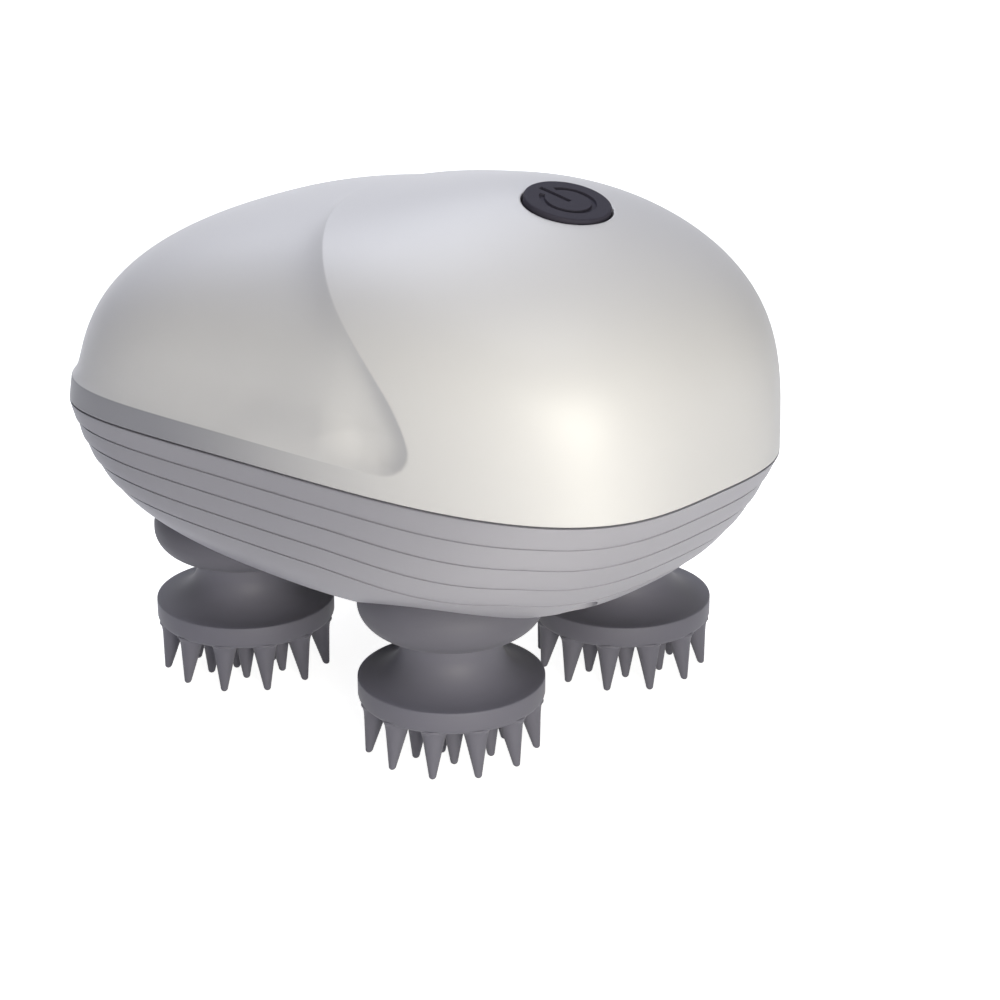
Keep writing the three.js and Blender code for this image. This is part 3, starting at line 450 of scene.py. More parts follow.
def gathered_rows(hole, ring, u, side, last_w):
    """Row places w: tongue down to the scoop's edge, scoop down to the ledge, strip to the rim."""
    steps = np.concatenate([np.linspace(0, 1, SCAN_ROWS), np.linspace(1, last_w, SCAN_ROWS)[1:]])
    path = column_point(np.repeat(steps[:, None], len(u), 1), hole, ring, u, side)
    lengths = np.linalg.norm(np.diff(path, axis=0), axis=-1)
    run = np.vstack([np.zeros(len(u)), np.cumsum(lengths, 0)])
    ledge, _ = first_rise(run, LEDGE_Z - path[..., 2])
    edge, found = first_rise(run, inside_scoop(path))
    index = np.arange(len(u))
    share = np.interp(index, index[found], (edge / ledge)[found], period=len(u))
    edge = share.clip(*EDGE_SHARES) * ledge
    wanted = np.vstack([
        edge * cluster(*TONGUE_ROWS),
        edge + (ledge - edge) * cluster(*SCOOP_ROWS)[1:],
        ledge + (run[-1] - ledge) * cluster(*STRIP_ROWS)[1:],
    ])
    after = (run[:, None] <= wanted[None]).sum(0).clip(1, len(steps) - 1)
    r0, r1 = np.take_along_axis(run, after - 1, 0), np.take_along_axis(run, after, 0)
    share = (wanted - r0) / (r1 - r0)
    return steps[after - 1] + share * (steps[after] - steps[after - 1])


print(f"{TONGUE_ROWS[0] + SCOOP_ROWS[0] + STRIP_ROWS[0] - 2} rows from the hole to the rim")

# %% [markdown]
# The pale upper half of the case is one closed surface: down the outside, round the rim that meets
# the lower shell, up the inside and out through the hole. A Solidify modifier could give the wall,
# but it would repeat every fine face inside, where nobody looks. Here the inside is a few rings of
# its own.

# %% Upper shell with its hole
UPPER_COLUMNS, HOLE_DEPTHS, FILLET_TURNS = 600, (3.0, 1.5, 0.6), (0, 30, 60)
PARTING_GAP, RIM_ROUND, RIM_LIP = 0.3, 0.12, 0.6
INNER_LEVELS, INNER_END = (0.15, 0.4, 0.6, 0.75, 0.87, 0.95, 0.99), 0.35


def hole_rows(angle, height):
    """Rows of the hole's wall from below, and of its fillet, a part of a circle."""
    rows = [about_button(HOLE_R, angle, height - depth) for depth in HOLE_DEPTHS]
    for turn in np.radians(FILLET_TURNS):
        radius, drop = HOLE_R + HOLE_FILLET * (1 - cos(turn)), HOLE_FILLET * (1 - sin(turn))
        rows.append(about_button(radius, angle, height - drop))
    return rows


def rim_row(form, u, side, inset, z):
    """Outline of the seam, drawn in by an inset, at a level z."""
    row = case_point(form, u, side, 0.0, inset)
    row[:, 2] = z
    return row


def upper_shell_grid():
    """Ring of rows: hole, outside of the dome with its scoop, rim, and inside up to the hole."""
    u, side = stations(UPPER_COLUMNS)
    ring = case_point(DOME, u, side, TOP_LEVEL)
    centre = tilted(np.array([0.0, 0.0, -STANDS_OUT]))
    angle = np.arctan2(ring[:, 1], (ring[:, 0] - centre[0]) / cos(TILT))
    hole, height = hole_edge(HOLE_R + HOLE_FILLET, angle)
    last_w = 2 - (PARTING_GAP / 2 + RIM_ROUND) / DOME_RISE / TOP_LEVEL
    w = gathered_rows(hole, ring, u, side, last_w)
    outside = scooped(column_point(w, hole, ring, u, side))
    rim_z = SEAM_Z + PARTING_GAP / 2
    corner = (RIM_ROUND * 0.3, rim_z + RIM_ROUND * 0.3)
    rim = [rim_row(DOME, u, side, inset, z)
           for inset, z in (corner, (RIM_ROUND, rim_z), (RIM_LIP, rim_z), (WALL, rim_z))]
    inside = [scooped(case_point(DOME, u, side, s, WALL), case_point(DOME, u, side, s))
              for s in INNER_LEVELS]
    under = about_button(HOLE_R, angle, height - HOLE_DEPTHS[0])
    inside.append(under + (inside[-1] - under) * INNER_END)
    return np.array(hole_rows(angle, height) + list(outside) + rim + inside)


upper_shell = measured(grid_mesh("upper_shell_fine", upper_shell_grid(), close_rows=True))

# %% [markdown]
# Four thin lines run round the bowl like the edges of lapped boards: a fine slot, and under it a
# strip that starts a little deeper and comes out again, which gives the soft shade under each line
# in the photo. A bump texture would do from afar, but real slots also show at the outline. Their
# pitch grows a little towards the blunt end.

# %% Grooves
GROOVES, GROOVE_PITCH, GROOVE_DEPTH, LAP, LAP_RUN = 4, 3.05, 0.42, 0.2, 0.9
SLOT_HALF, SLOT_WALL = 0.12, 0.15
WIDER_AT_BLUNT = ((0.55, 10, 32), (0.5, 44, 11))


def pitch_at(u):
    """Pitch of the grooves at u: two rises add to it towards the blunt end."""
    x = LENGTH / 2 * u
    return GROOVE_PITCH + sum(more * rise(x, start, run) for more, start, run in WIDER_AT_BLUNT)


def groove_depth(drop):
    """Depth at a drop counted in pitches: a slot at each whole number, and under it a strip that
    starts LAP deep and comes out again before the next slot."""
    nearest = np.clip(np.round(drop), 1, GROOVES)
    slot = GROOVE_DEPTH * (1 - rise(np.abs(drop - nearest) * GROOVE_PITCH, SLOT_HALF, SLOT_WALL))
    below = np.clip(drop - np.floor(np.clip(drop, 1, GROOVES)), 0, 1)
    return np.maximum(slot, LAP * (1 - rise(below, 0, LAP_RUN)) if drop > 1 else 0.0)


tail_pitch, blunt_pitch = pitch_at(np.array([-1.0, 1.0]))
print(f"{GROOVES} grooves, {tail_pitch:.2f} mm apart at the tail and {blunt_pitch:.2f} mm at the blunt end")

# %% [markdown]
# The darker lower half is again one closed surface: the step in the rim that the seal lies in, the
# outside with rows gathered at each groove, the floor, and the inside. Even rows would need to be
# many more to draw such fine slots. Below the last groove they come closer together towards the
# floor, where the bowl turns under fastest.

# %% Bowl
LOWER_COLUMNS, STEP_INSET, STEP_DEPTH, FLOOR_MIDDLE_X = 560, 1.1, 1.9, -9.0
SLOT_ROWS = (-0.45, -0.3, -0.26, -0.22, -0.18, -0.14, -0.1, -0.05)
FIRST_DROP, ABOVE_SLOT, BELOW_LAST = 0.09, (0.8, 0.6, 0.4, 0.25), (0.3, 0.5, 0.7, 0.9)
FLOOR_ROWS, FLOOR_POWER, INSIDE_LEVELS = 30, 2.2, (1.0, 0.97, 0.9, 0.75, 0.5, 0.25)


def drops_of_rows():
    """Places of the rows down to the last groove, in pitches."""
    near = np.array(SLOT_ROWS) / GROOVE_PITCH
    near = np.concatenate([near, [0], -near[::-1]])
    drops = [FIRST_DROP]
    for groove in range(1, GROOVES + 1):
        drops += [groove - share for share in ABOVE_SLOT] + (groove + near).tolist()
    return drops + [GROOVES + share for share in BELOW_LAST]


def bowl_grid(u, side):
    """Ring of rows: stepped rim, grooved outside, floor and inside."""
    pitch, height = pitch_at(u), SEAM_Z - FLOOR_Z
    rim_z = SEAM_Z - PARTING_GAP / 2
    step_z, corner = rim_z - STEP_DEPTH, (RIM_ROUND * 0.3, rim_z - RIM_ROUND * 0.3)
    profile = ((WALL, step_z), (STEP_INSET, step_z), (STEP_INSET, rim_z), (RIM_ROUND, rim_z), corner)
    outer = [rim_row(BOWL, u, side, inset, z) for inset, z in profile]
    for drop in drops_of_rows():
        outer.append(case_point(BOWL, u, side, drop * pitch / height, groove_depth(drop)))
        outer[-1][:, 2] = SEAM_Z - drop * pitch
    last = drops_of_rows()[-1] * pitch / height
    for t in 1 - (1 - np.linspace(0, 1, FLOOR_ROWS)[1:]) ** FLOOR_POWER:
        outer.append(case_point(BOWL, u, side, last + (1 - last) * t))
    inner = [case_point(BOWL, u, side, s, WALL) for s in INSIDE_LEVELS]
    floor = [row + (np.array([FLOOR_MIDDLE_X, 0, row[0, 2]]) - row) * share
             for row, shares in ((outer[-1], (0.4, 0.8)), (inner[0], (0.8, 0.4))) for share in shares]
    return np.array(outer + floor + inner)


lower_columns = stations(LOWER_COLUMNS)
bowl = measured(grid_mesh("bowl", bowl_grid(*lower_columns), close_rows=True))

# %% [markdown]
# The bowl is open below for four collar sleeves, four case screws and two charging contacts. These
# round holes don't fit its own grid, so they are one Boolean, with a closed cylinder for each. Only
# the contacts' holes lie wholly in the flat floor: the others reach the slope round it. A hollow post
# stands over each screw. It is turned as a tube that is too long, and only what lies inside the bowl
# is kept.

# %% Lower shell with holes and posts
CLEARANCE, PLATE_Z, CUTTER_Z, CUTTER_TOP, HOLE_SEGMENTS, POST_SEGMENTS = 0.3, 33.5, 15, 4, 64, 48
TAIL_X, BLUNT_X, HEAD_Y, SLEEVE_R = -25.47, 20.53, 20.67, 11.0
HEADS = {
    "near_tail": (TAIL_X, -HEAD_Y),
    "near_blunt": (BLUNT_X, -HEAD_Y),
    "far_blunt": (BLUNT_X, HEAD_Y),
    "far_tail": (TAIL_X, HEAD_Y),
}
SCREW_XS, SCREW_Y, SCREW_R, SCREW_HEAD_R = (-44.0, 39.5), 13.0, 1.4, 2.6
SCREW_SINK_Z, POST_R = 29.8, 3.9
SCREWS = [(x, y) for x in SCREW_XS for y in (-SCREW_Y, SCREW_Y)]
CONTACT_XS, CONTACT_R = (-7.47, 2.53), 2.0
CORE_LEVELS, CORE_OVERLAP = (0.05, 0.2, 0.4, 0.6, 0.8, 0.9, 0.95, 0.98, 1.0), 0.1


def hole_cutters():
    """A closed cylinder for each hole in the bowl's underside."""
    holes = [(SLEEVE_R, place) for place in HEADS.values()]
    holes += [(SCREW_HEAD_R, place) for place in SCREWS]
    holes += [(CONTACT_R, (x, 0)) for x in CONTACT_XS]
    ends_z = (CUTTER_Z, PLATE_Z - CUTTER_TOP)
    return [turned("cutter", [[radius + CLEARANCE, z] for z in ends_z], HOLE_SEGMENTS, place, close=False)
            for radius, place in holes]


def screw_posts():
    """Tubes with a sunk seat for each screw's head, less what sticks out of the bowl."""
    sink, bore, top = SCREW_HEAD_R + CLEARANCE, SCREW_R + CLEARANCE, PLATE_Z - CLEARANCE
    profile = [[sink, FLOOR_Z], [POST_R, FLOOR_Z], [POST_R, top], [bore, top],
               [bore, SCREW_SINK_Z], [sink, SCREW_SINK_Z]]
    posts = join("posts", [turned("post", profile, POST_SEGMENTS, place) for place in SCREWS])
    u, side = lower_columns
    levels = np.array(CORE_LEVELS)[:, None]
    inside = case_point(BOWL, u[None], side[None], levels, WALL - CORE_OVERLAP)
    return cut(posts, [grid_mesh("core", inside, caps=("first", "last"))], "INTERSECT")


lower_shell = measured(join("lower_shell_fine", [cut(bowl, hole_cutters()), screw_posts()]))

# %% [markdown]
# A collar is a soft cup that comes out of the bowl round each shaft. It looks like half a bulb and
# is turned about its shaft: an elliptic sweep from the lip to the widest place, then a slow
# narrowing, and inside the bowl a sleeve that holds it. As a lathe shape it stays perfectly round.

# %% Collars
COLLAR_R, COLLAR_MOUTH_R, COLLAR_LOW_Z, COLLAR_WIDE_Z = 14.4, 8.5, 19.45, 24.0
COLLAR_STRAIGHT, COLLAR_NARROWS, COLLAR_UPPER, COLLAR_CHAMFER = 0.5, 0.15, 5, 0.3
SHAFT_R, SLEEVE_WALL, SHOULDER, SHOULDER_DROP, ROUND_SEGMENTS = 2.5, 2.0, 1.6, 0.8, 160


def arc(centre_r, centre_z, half_r, half_z, start, end, count):
    """Points of an ellipse's arc in the r-z plane, angles in degrees from +r."""
    a = np.radians(np.linspace(start, end, count))
    return np.stack([centre_r + half_r * np.cos(a), centre_z + half_z * np.sin(a)], -1)


def collar_profile():
    """Mouth, sweep to the widest place, slow narrowing in the bowl, sleeve, inner wall."""
    low = arc(COLLAR_MOUTH_R, COLLAR_WIDE_Z, COLLAR_R - COLLAR_MOUTH_R, COLLAR_WIDE_Z - COLLAR_LOW_Z,
              -90, 0, 30)
    up = np.linspace(COLLAR_STRAIGHT, COLLAR_UPPER, 12)
    upper = np.stack([COLLAR_R - COLLAR_NARROWS * (up - COLLAR_STRAIGHT) ** 2, COLLAR_WIDE_Z + up], -1)
    inner, bore = SLEEVE_R - SLEEVE_WALL, SHAFT_R + CLEARANCE
    top, roof = PLATE_Z - CLEARANCE, COLLAR_LOW_Z + SLEEVE_WALL
    return np.vstack([
        [[bore, COLLAR_LOW_Z + COLLAR_CHAMFER], [bore + COLLAR_CHAMFER, COLLAR_LOW_Z]], low, upper,
        [[SLEEVE_R, COLLAR_WIDE_Z + COLLAR_UPPER], [SLEEVE_R, top], [inner, top]],
        [[inner, COLLAR_WIDE_Z - SHOULDER_DROP], [inner - SHOULDER, roof], [bore, roof]],
    ])


collars = {name: measured(turned("collar_fine_" + name, collar_profile(), ROUND_SEGMENTS, centre))
           for name, centre in HEADS.items()}

# %% [markdown]
# Under each collar a trumpet-shaped neck widens into a soft disc. The rim has a crisp top edge and
# a small step below, as moulded pieces have. It could be a cylinder with bevels, but the flare is a
# curve, so it is a lathe shape too, hollow for the hub that drives it.

# %% Disc of a head
DISC_R, DISC_LOW_R, DISC_Z, DISC_TOP_Z = 14.5, 14.05, 8.0, 11.6
NECK_R, NECK_TOP_Z, NECK_CHAMFER = 7.8, 19.1, 0.2
FLARE_Z, FLARE_START, RIM_EDGE, SINK, FLARE_END, RIM_FLAT = 17.0, 0.25, 0.22, 0.05, 266, 1.5
HUB_R, HUB_Z, UNDERSIDE_RS, AXIS_R = 5.0, 12.5, (9, 4, 0.5), 0.5
RIM_STEPS = ((0, 0.75), (-0.06, 0.5))
LOW_STEPS = ((0.1, 0.14), (0, 0.04), (-0.15, 0))


def disc_profile():
    """Hollow for the hub, neck, elliptic flare, rounded rim with its step, and flat underside."""
    bore, top, roof = HUB_R + CLEARANCE, DISC_TOP_Z, HUB_Z - CLEARANCE
    reach = DISC_R - FLARE_START
    flare = arc(reach, FLARE_Z, reach - NECK_R, FLARE_Z - top - SINK, 180, FLARE_END, 30)
    rim = arc(DISC_R - RIM_EDGE, top - RIM_EDGE, RIM_EDGE, RIM_EDGE, 80, 0, 5)
    neck = [[bore, NECK_TOP_Z], [NECK_R - NECK_CHAMFER, NECK_TOP_Z], [NECK_R, NECK_TOP_Z - NECK_CHAMFER]]
    return np.vstack([
        [[AXIS_R, roof], [bore, roof]], neck, flare, rim, [[DISC_R, top - RIM_FLAT]],
        [[DISC_R + out, DISC_Z + up] for out, up in RIM_STEPS],
        [[DISC_LOW_R + out, DISC_Z + up] for out, up in LOW_STEPS],
        [[r, DISC_Z] for r in UNDERSIDE_RS],
    ])


print(f"disc {2 * DISC_R:.0f} mm across and {DISC_TOP_Z - DISC_Z:.1f} mm thick, neck {2 * NECK_R:.1f} mm")

# %% [markdown]
# Twelve nubs stand at the edge of each disc, eight further in and four in the middle. Each is a soft
# cone that swells where it leaves the disc, leans outwards a little and ends in a round tip. They
# could be linked copies of one cone, but their leans differ by circle, and a head has to be one
# piece. So one formula makes each, and they are joined to the disc.

# %% Heads with their nubs
NUB_CIRCLES = ((12, 0.0, 12.05, 13.47), (8, 0.0, 7.5, 8.2), (4, 22.5, 3.9, 4.5))
NUB_ROOT_R, NUB_TIP_R, NUB_FLARE, NUB_FLARE_RUN, NUB_BURIED = 2.02, 0.6, 0.42, 0.5, 0.3
NUB_SEGMENTS, NUB_FLARE_ROWS, NUB_CONE_ROWS, NUB_TIP_ROWS, TIP_TURN = 28, (1.5, 8), (2, 8), 7, 84


def nub_mesh(base, tip, angle):
    """Cone from the disc to z = 0. Its middle goes from radius base to radius tip, and its own
    radius narrows evenly, plus a flare that dies away as exp(-drop / run), to a quarter circle."""
    drop = np.concatenate([[-NUB_BURIED], np.linspace(0, *NUB_FLARE_ROWS),
                           np.linspace(NUB_CONE_ROWS[0], DISC_Z - NUB_TIP_R, NUB_CONE_ROWS[1])])
    share = np.clip(drop / (DISC_Z - NUB_TIP_R), 0, 1)
    flare = NUB_FLARE * np.exp(-drop.clip(0) / NUB_FLARE_RUN)
    r = NUB_ROOT_R + (NUB_TIP_R - NUB_ROOT_R) * share + flare
    turn = np.radians(np.linspace(0, TIP_TURN, NUB_TIP_ROWS)[1:])
    z = np.concatenate([DISC_Z - drop, NUB_TIP_R * (1 - np.sin(turn))])[:, None]
    r = np.concatenate([r, NUB_TIP_R * np.cos(turn)])[:, None]
    out = base + (tip - base) * (DISC_Z - z) / DISC_Z
    a = np.linspace(0, 2 * pi, NUB_SEGMENTS, endpoint=False)
    grid = np.stack([out * cos(angle) + r * np.cos(a), out * sin(angle) + r * np.sin(a), z + 0 * a], -1)
    return grid_mesh("nub", grid, caps=("first", "last"))


def head_mesh(name, centre):
    """Disc and nubs about the axis, joined and moved to the head's place."""
    nubs = [nub_mesh(base, tip, radians(first) + 2 * pi * i / count)
            for count, first, base, tip in NUB_CIRCLES for i in range(count)]
    mesh = join(name, [turned("disc", disc_profile(), ROUND_SEGMENTS, close=False)] + nubs)
    mesh.vertices.foreach_set("co", (points_of(mesh) + np.array([*centre, 0]) * MM).ravel())
    mesh.update()
    return mesh


heads = {name: measured(head_mesh("head_fine_" + name, centre)) for name, centre in HEADS.items()}

# %% [markdown]
# The symbol on the button is sunk into its face: a ring that is open towards the tail, and a bar
# through the opening. It could be a texture, but a real cut keeps its shade from every side and in
# the mesh itself. The distance to the nearest stroke gives the depth.

# %% Power symbol
SYMBOL_R, STROKE, SYMBOL_DEPTH, SYMBOL_OPEN, SYMBOL_TURN = 3.95, 0.39, 0.38, radians(24), radians(6)
BAR_FROM, BAR_TO, STROKE_WALL = -SYMBOL_R - 1.2, 0.3, 0.12


def symbol_cut(x, y):
    """Depth of the symbol: full within a stroke of the ring or the bar, with steep walls."""
    turn = cos(SYMBOL_TURN), sin(SYMBOL_TURN)
    x, y = x * turn[0] + y * turn[1], y * turn[0] - x * turn[1]
    r, a = np.hypot(x, y), np.arctan2(y, -x)
    ring = np.maximum(np.abs(r - SYMBOL_R), STROKE - (np.abs(a) - SYMBOL_OPEN) * SYMBOL_R)
    middle, half = (BAR_FROM + BAR_TO) / 2, (BAR_TO - BAR_FROM) / 2 - STROKE
    bar = np.maximum(np.abs(x - middle) - half, np.abs(y))
    away = np.minimum(ring, bar)
    return SYMBOL_DEPTH * (1 - rise(away, STROKE - STROKE_WALL / 2, STROKE_WALL))


print(f"symbol {2 * (SYMBOL_R + STROKE):.1f} mm across, strokes {2 * STROKE:.2f} mm wide")

# %% [markdown]
# A low disc with a rounded edge stands in the round gap. Below the shell it has a flange that keeps
# it in, and a stud that presses the plunger of the switch. It could be a bevelled cylinder, but the
# symbol needs faces where its strokes lie. So the face is a polar grid that is fine there, and all
# of the button is one surface in its own frame.

# %% Power button
FACE_RINGS = ((0.04, 3.3, 34), (3.36, 4.56, 41), (4.62, 5.4, 14), (5.6, BUTTON_R - 0.3, 4))
FACE_ROUND, FACE_COLUMNS, SKIRT_TOP = 0.3, 360, 1.5
FLANGE_R, SKIRT, FLANGE_T, STUD_R, STUD_L, STUD_MIDDLE = 8.6, 3.8, 1.0, 1.6, 1.2, 0.05


def button_grid():
    """Face less the symbol, rounded edge, wall, flange and stud."""
    t = np.linspace(0, 2 * pi, FACE_COLUMNS, endpoint=False)[None]
    face_r = np.concatenate([np.linspace(*rings) for rings in FACE_RINGS])[:, None]
    x, y = face_r * np.cos(t), face_r * np.sin(t)
    face = np.stack([x, y, -symbol_cut(x, y)], -1)
    edge = arc(BUTTON_R - FACE_ROUND, -FACE_ROUND, FACE_ROUND, FACE_ROUND, 78, 0, 6)
    flange_low = -SKIRT - FLANGE_T
    stud_low = flange_low - STUD_L
    low = [[BUTTON_R, -SKIRT_TOP], [BUTTON_R, -SKIRT], [FLANGE_R, -SKIRT], [FLANGE_R, flange_low],
           [STUD_R, flange_low], [STUD_R, stud_low], [STUD_MIDDLE, stud_low]]
    side = np.vstack([edge, low])
    r, z = side[:, :1], side[:, 1:]
    return tilted(np.vstack([face, np.stack([r * np.cos(t), r * np.sin(t), z + 0 * t], -1)]))


power_button = measured(grid_mesh("power_button_fine", button_grid(), caps=("first", "last")))

# %% [markdown]
# A material is a tree of nodes. Made by hand it needs one line for each value and each link. Here
# one helper makes a node, sets what it is, and feeds its inputs: a number or colour is set on the
# input, and another node's output is linked to it. The same helper fills node groups, which several
# materials share.

# %% Nodes, links and groups
def feed(tree, fed, inputs):
    """Gives each input of a node its value, or a link where the value is another node's output."""
    for key, value in inputs.items():
        if isinstance(value, bpy.types.NodeSocket):
            tree.links.new(value, fed.inputs[key])
        else:
            fed.inputs[key].default_value = value


def add_node(tree, kind, inputs=None, **properties):
    """New node: first its properties, because they choose its sockets, and then its inputs."""
    added = tree.nodes.new(kind)
    for key, value in properties.items():
        setattr(added, key, value)
    feed(tree, added, inputs or {})
    return added


def worked_out(tree, operation, *values):
    """Output of a Math node, such as a sum or product of the values."""
    return add_node(tree, "ShaderNodeMath", dict(enumerate(values)), operation=operation).outputs[0]


def new_group(name, numbers, result):
    """Empty group with named numbers going in and one coming out: its tree, inputs and end."""
    group = bpy.data.node_groups.new(name, "ShaderNodeTree")
    for label, default in numbers.items():
        socket = group.interface.new_socket(label, in_out="INPUT", socket_type="NodeSocketFloat")
        socket.default_value = default
    group.interface.new_socket(result, in_out="OUTPUT", socket_type="NodeSocketFloat")
    return group, group.nodes.new("NodeGroupInput").outputs, group.nodes.new("NodeGroupOutput")


def srgb(red, green, blue):
    """Linear colour of an 8-bit sRGB value: c / 12.92 near black, else ((c + 0.055) / 1.055)^2.4."""
    c = np.array([red, green, blue]) / 255
    linear = np.where(c <= 0.04045, c / 12.92, ((c + 0.055) / 1.055) ** 2.4)
    return (*linear.tolist(), 1.0)


print("mid grey 128 is", round(srgb(128, 128, 128)[0], 3), "in linear light")

# %% [markdown]
# Close up, a moulded surface is never quite flat nor quite even. Its mould was sparked, which leaves
# a fine grain, and its colour and gloss drift a little over some centimetres. Both could be painted
# as images, but noise in Object coordinates needs no unwrapping and stays sharp at any distance.
# They are two groups, so that every material shares them with numbers of its own.

# %% Shared shader groups
def grain_group():
    """Height of the grain: fine noise plus half the distance to the nearest cell's middle."""
    group, entry, end = new_group("mould_grain", {"Scale": 4200.0}, "Height")
    place = add_node(group, "ShaderNodeTexCoord").outputs["Object"]
    spread = {"Vector": place, "Scale": entry["Scale"]}
    noise = add_node(group, "ShaderNodeTexNoise", {**spread, "Detail": 3.0, "Roughness": 0.6})
    cells = add_node(group, "ShaderNodeTexVoronoi", {**spread, "Randomness": 1.0})
    height = worked_out(group, "MULTIPLY_ADD", cells.outputs["Distance"], 0.5, noise.outputs["Fac"])
    feed(group, end, {"Height": height})
    return group


def uneven_group():
    """Slow change of tone: 1 plus an amount times noise that goes up and down round 0."""
    group, entry, end = new_group("uneven_tone", {"Scale": 40.0, "Amount": 0.03}, "Factor")
    place = add_node(group, "ShaderNodeTexCoord").outputs["Object"]
    spread = {"Vector": place, "Scale": entry["Scale"]}
    noise = add_node(group, "ShaderNodeTexNoise", {**spread, "Detail": 2.0, "Roughness": 0.5})
    centred = worked_out(group, "SUBTRACT", noise.outputs["Fac"], 0.5)
    change = worked_out(group, "MULTIPLY", centred, entry["Amount"])
    feed(group, end, {"Factor": worked_out(group, "ADD", change, 1.0)})
    return group


GRAIN, UNEVEN = grain_group(), uneven_group()
print("shared groups:", GRAIN.name, "and", UNEVEN.name)

# %% [markdown]
# Plastic, silicone and metal differ here in colour, roughness, shine and grain, so one function
# makes them all. The upper shell has one extra: in the photo the strip under the ledge is darker
# than its slope explains, and pales towards the lobe, so that shade is painted into its colour. A
# second material would leave a hard line, so the shell's own material paints the strip's shade by
# height and by place along the case.

# %% Recipe for a finish
# Painted shade: a darker grey mixed into the shell's colour under the ledge, full at the tail and gone
# towards the lobe.
PAINTED_SHADE_COLOUR, STRIP_DARK_X, STRIP_PALE_X = (134, 134, 144), -28.0, 26.0
STRIP_BELOW, STRIP_ABOVE = 0.05, 0.15
TONE_SCALE, TONE_AMOUNT, GLOSS_SCALE, GLOSS_AMOUNT, GRAIN_HEIGHT = 45.0, 0.03, 160.0, 0.08, 0.03


def painted_shade_share(tree):
    """Share of the painted shade on the strip: 1 below the ledge and at the tail, falling to 0 over it
    and towards the lobe, as a product of two smooth falls."""
    place = add_node(tree, "ShaderNodeTexCoord").outputs["Object"]
    along = add_node(tree, "ShaderNodeSeparateXYZ", {0: place}).outputs
    falls = (
        (along["Z"], LEDGE_Z - STRIP_BELOW, LEDGE_Z + STRIP_ABOVE),
        (along["X"], STRIP_DARK_X, STRIP_PALE_X),
    )
    shares = [add_node(tree, "ShaderNodeMapRange", {
        "Value": value, "From Min": start * MM, "From Max": end * MM, "To Min": 1.0, "To Max": 0.0,
    }, interpolation_type="SMOOTHSTEP").outputs["Result"] for value, start, end in falls]
    return worked_out(tree, "MULTIPLY", *shares)


def finish(name, colour, roughness, metallic=0.0, specular=0.5, sheen=0.0, grain=4200.0, bump=0.05,
           strip=False):
    """Material whose colour and roughness are each multiplied by an uneven tone, with grain as a
    bump; strip paints shade into the colour of what lies under the ledge."""
    material = bpy.data.materials.new(name)
    material.use_nodes = True
    tree = material.node_tree
    base = srgb(*colour)
    # Painted shade: the strip's colour is mixed towards a darker grey by height and by place along the
    # case.
    if strip:
        painted_shade_mix = {"Factor": painted_shade_share(tree), "A": base, "B": srgb(*PAINTED_SHADE_COLOUR)}
        base = add_node(tree, "ShaderNodeMix", painted_shade_mix, data_type="RGBA").outputs["Result"]
    tone, gloss = (
        add_node(tree, "ShaderNodeGroup", {"Scale": scale, "Amount": amount}, node_tree=UNEVEN)
        for scale, amount in ((TONE_SCALE, TONE_AMOUNT), (GLOSS_SCALE, GLOSS_AMOUNT)))
    fine = add_node(tree, "ShaderNodeGroup", {"Scale": grain}, node_tree=GRAIN)
    paint = add_node(tree, "ShaderNodeMix", {"Factor": 1.0, "A": base, "B": tone.outputs["Factor"]},
                     data_type="RGBA", blend_type="MULTIPLY")
    rough = worked_out(tree, "MULTIPLY", gloss.outputs["Factor"], roughness)
    height = add_node(tree, "ShaderNodeBump", {
        "Strength": bump, "Distance": GRAIN_HEIGHT * MM, "Height": fine.outputs["Height"]})
    feed(tree, tree.nodes["Principled BSDF"], {
        "Base Color": paint.outputs["Result"], "Roughness": rough, "Normal": height.outputs["Normal"],
        "Metallic": metallic, "Specular IOR Level": specular, "Sheen Weight": sheen})
    return material


# Where the strip's painted shade lies.
print(f"strip tinted under z {LEDGE_Z + STRIP_ABOVE:.2f} mm, up to x {STRIP_PALE_X:.0f} mm")

# %% [markdown]
# Colours are read off the photo where a piece shows: pale grey upper shell, darker lower shell, near
# black button, dark violet grey silicone. The button hardly shines, the shells a little more. Inner
# pieces have what such pieces usually are made of. Each finish has the name of its slot in the record.

# %% Finishes
FINISHES = {
    # strip=True paints shade into the upper shell's colour under the ledge.
    "shell_plastic": dict(colour=(208, 207, 211), roughness=0.43, bump=0.12, specular=0.6, strip=True),
    "lower_plastic": dict(colour=(160, 159, 170), roughness=0.48, bump=0.14, specular=0.4),
    "button_plastic": dict(colour=(62, 60, 71), roughness=0.55, grain=5200.0, bump=0.2, specular=0.04),
    "head_silicone": dict(colour=(108, 107, 120), roughness=0.55, grain=3000.0, bump=0.12,
                          specular=0.35, sheen=0.06),
    "collar_silicone": dict(colour=(99, 98, 109), roughness=0.6, grain=3000.0, bump=0.12,
                            specular=0.3, sheen=0.06),
    "dark_rubber": dict(colour=(52, 52, 58), roughness=0.7, bump=0.15),
    "dark_plastic": dict(colour=(62, 62, 68), roughness=0.5, bump=0.15),
    "steel": dict(colour=(190, 192, 196), roughness=0.3, metallic=1.0, grain=2600.0, bump=0.06),
    "brass": dict(colour=(205, 170, 90), roughness=0.3, metallic=1.0, grain=2600.0, bump=0.06),
    "gear_plastic": dict(colour=(232, 226, 210), roughness=0.45, bump=0.08),
    "board_laminate": dict(colour=(38, 96, 64), roughness=0.4, grain=1800.0, bump=0.2),
    "cell_wrap": dict(colour=(52, 112, 178), roughness=0.25, bump=0.03),
    "red_lead": dict(colour=(160, 48, 48), roughness=0.5),
    "black_lead": dict(colour=(40, 40, 44), roughness=0.5),
}
looks = {name: finish(name, **values) for name, values in FINISHES.items()}
print(len(looks), "finishes:", ", ".join(looks))

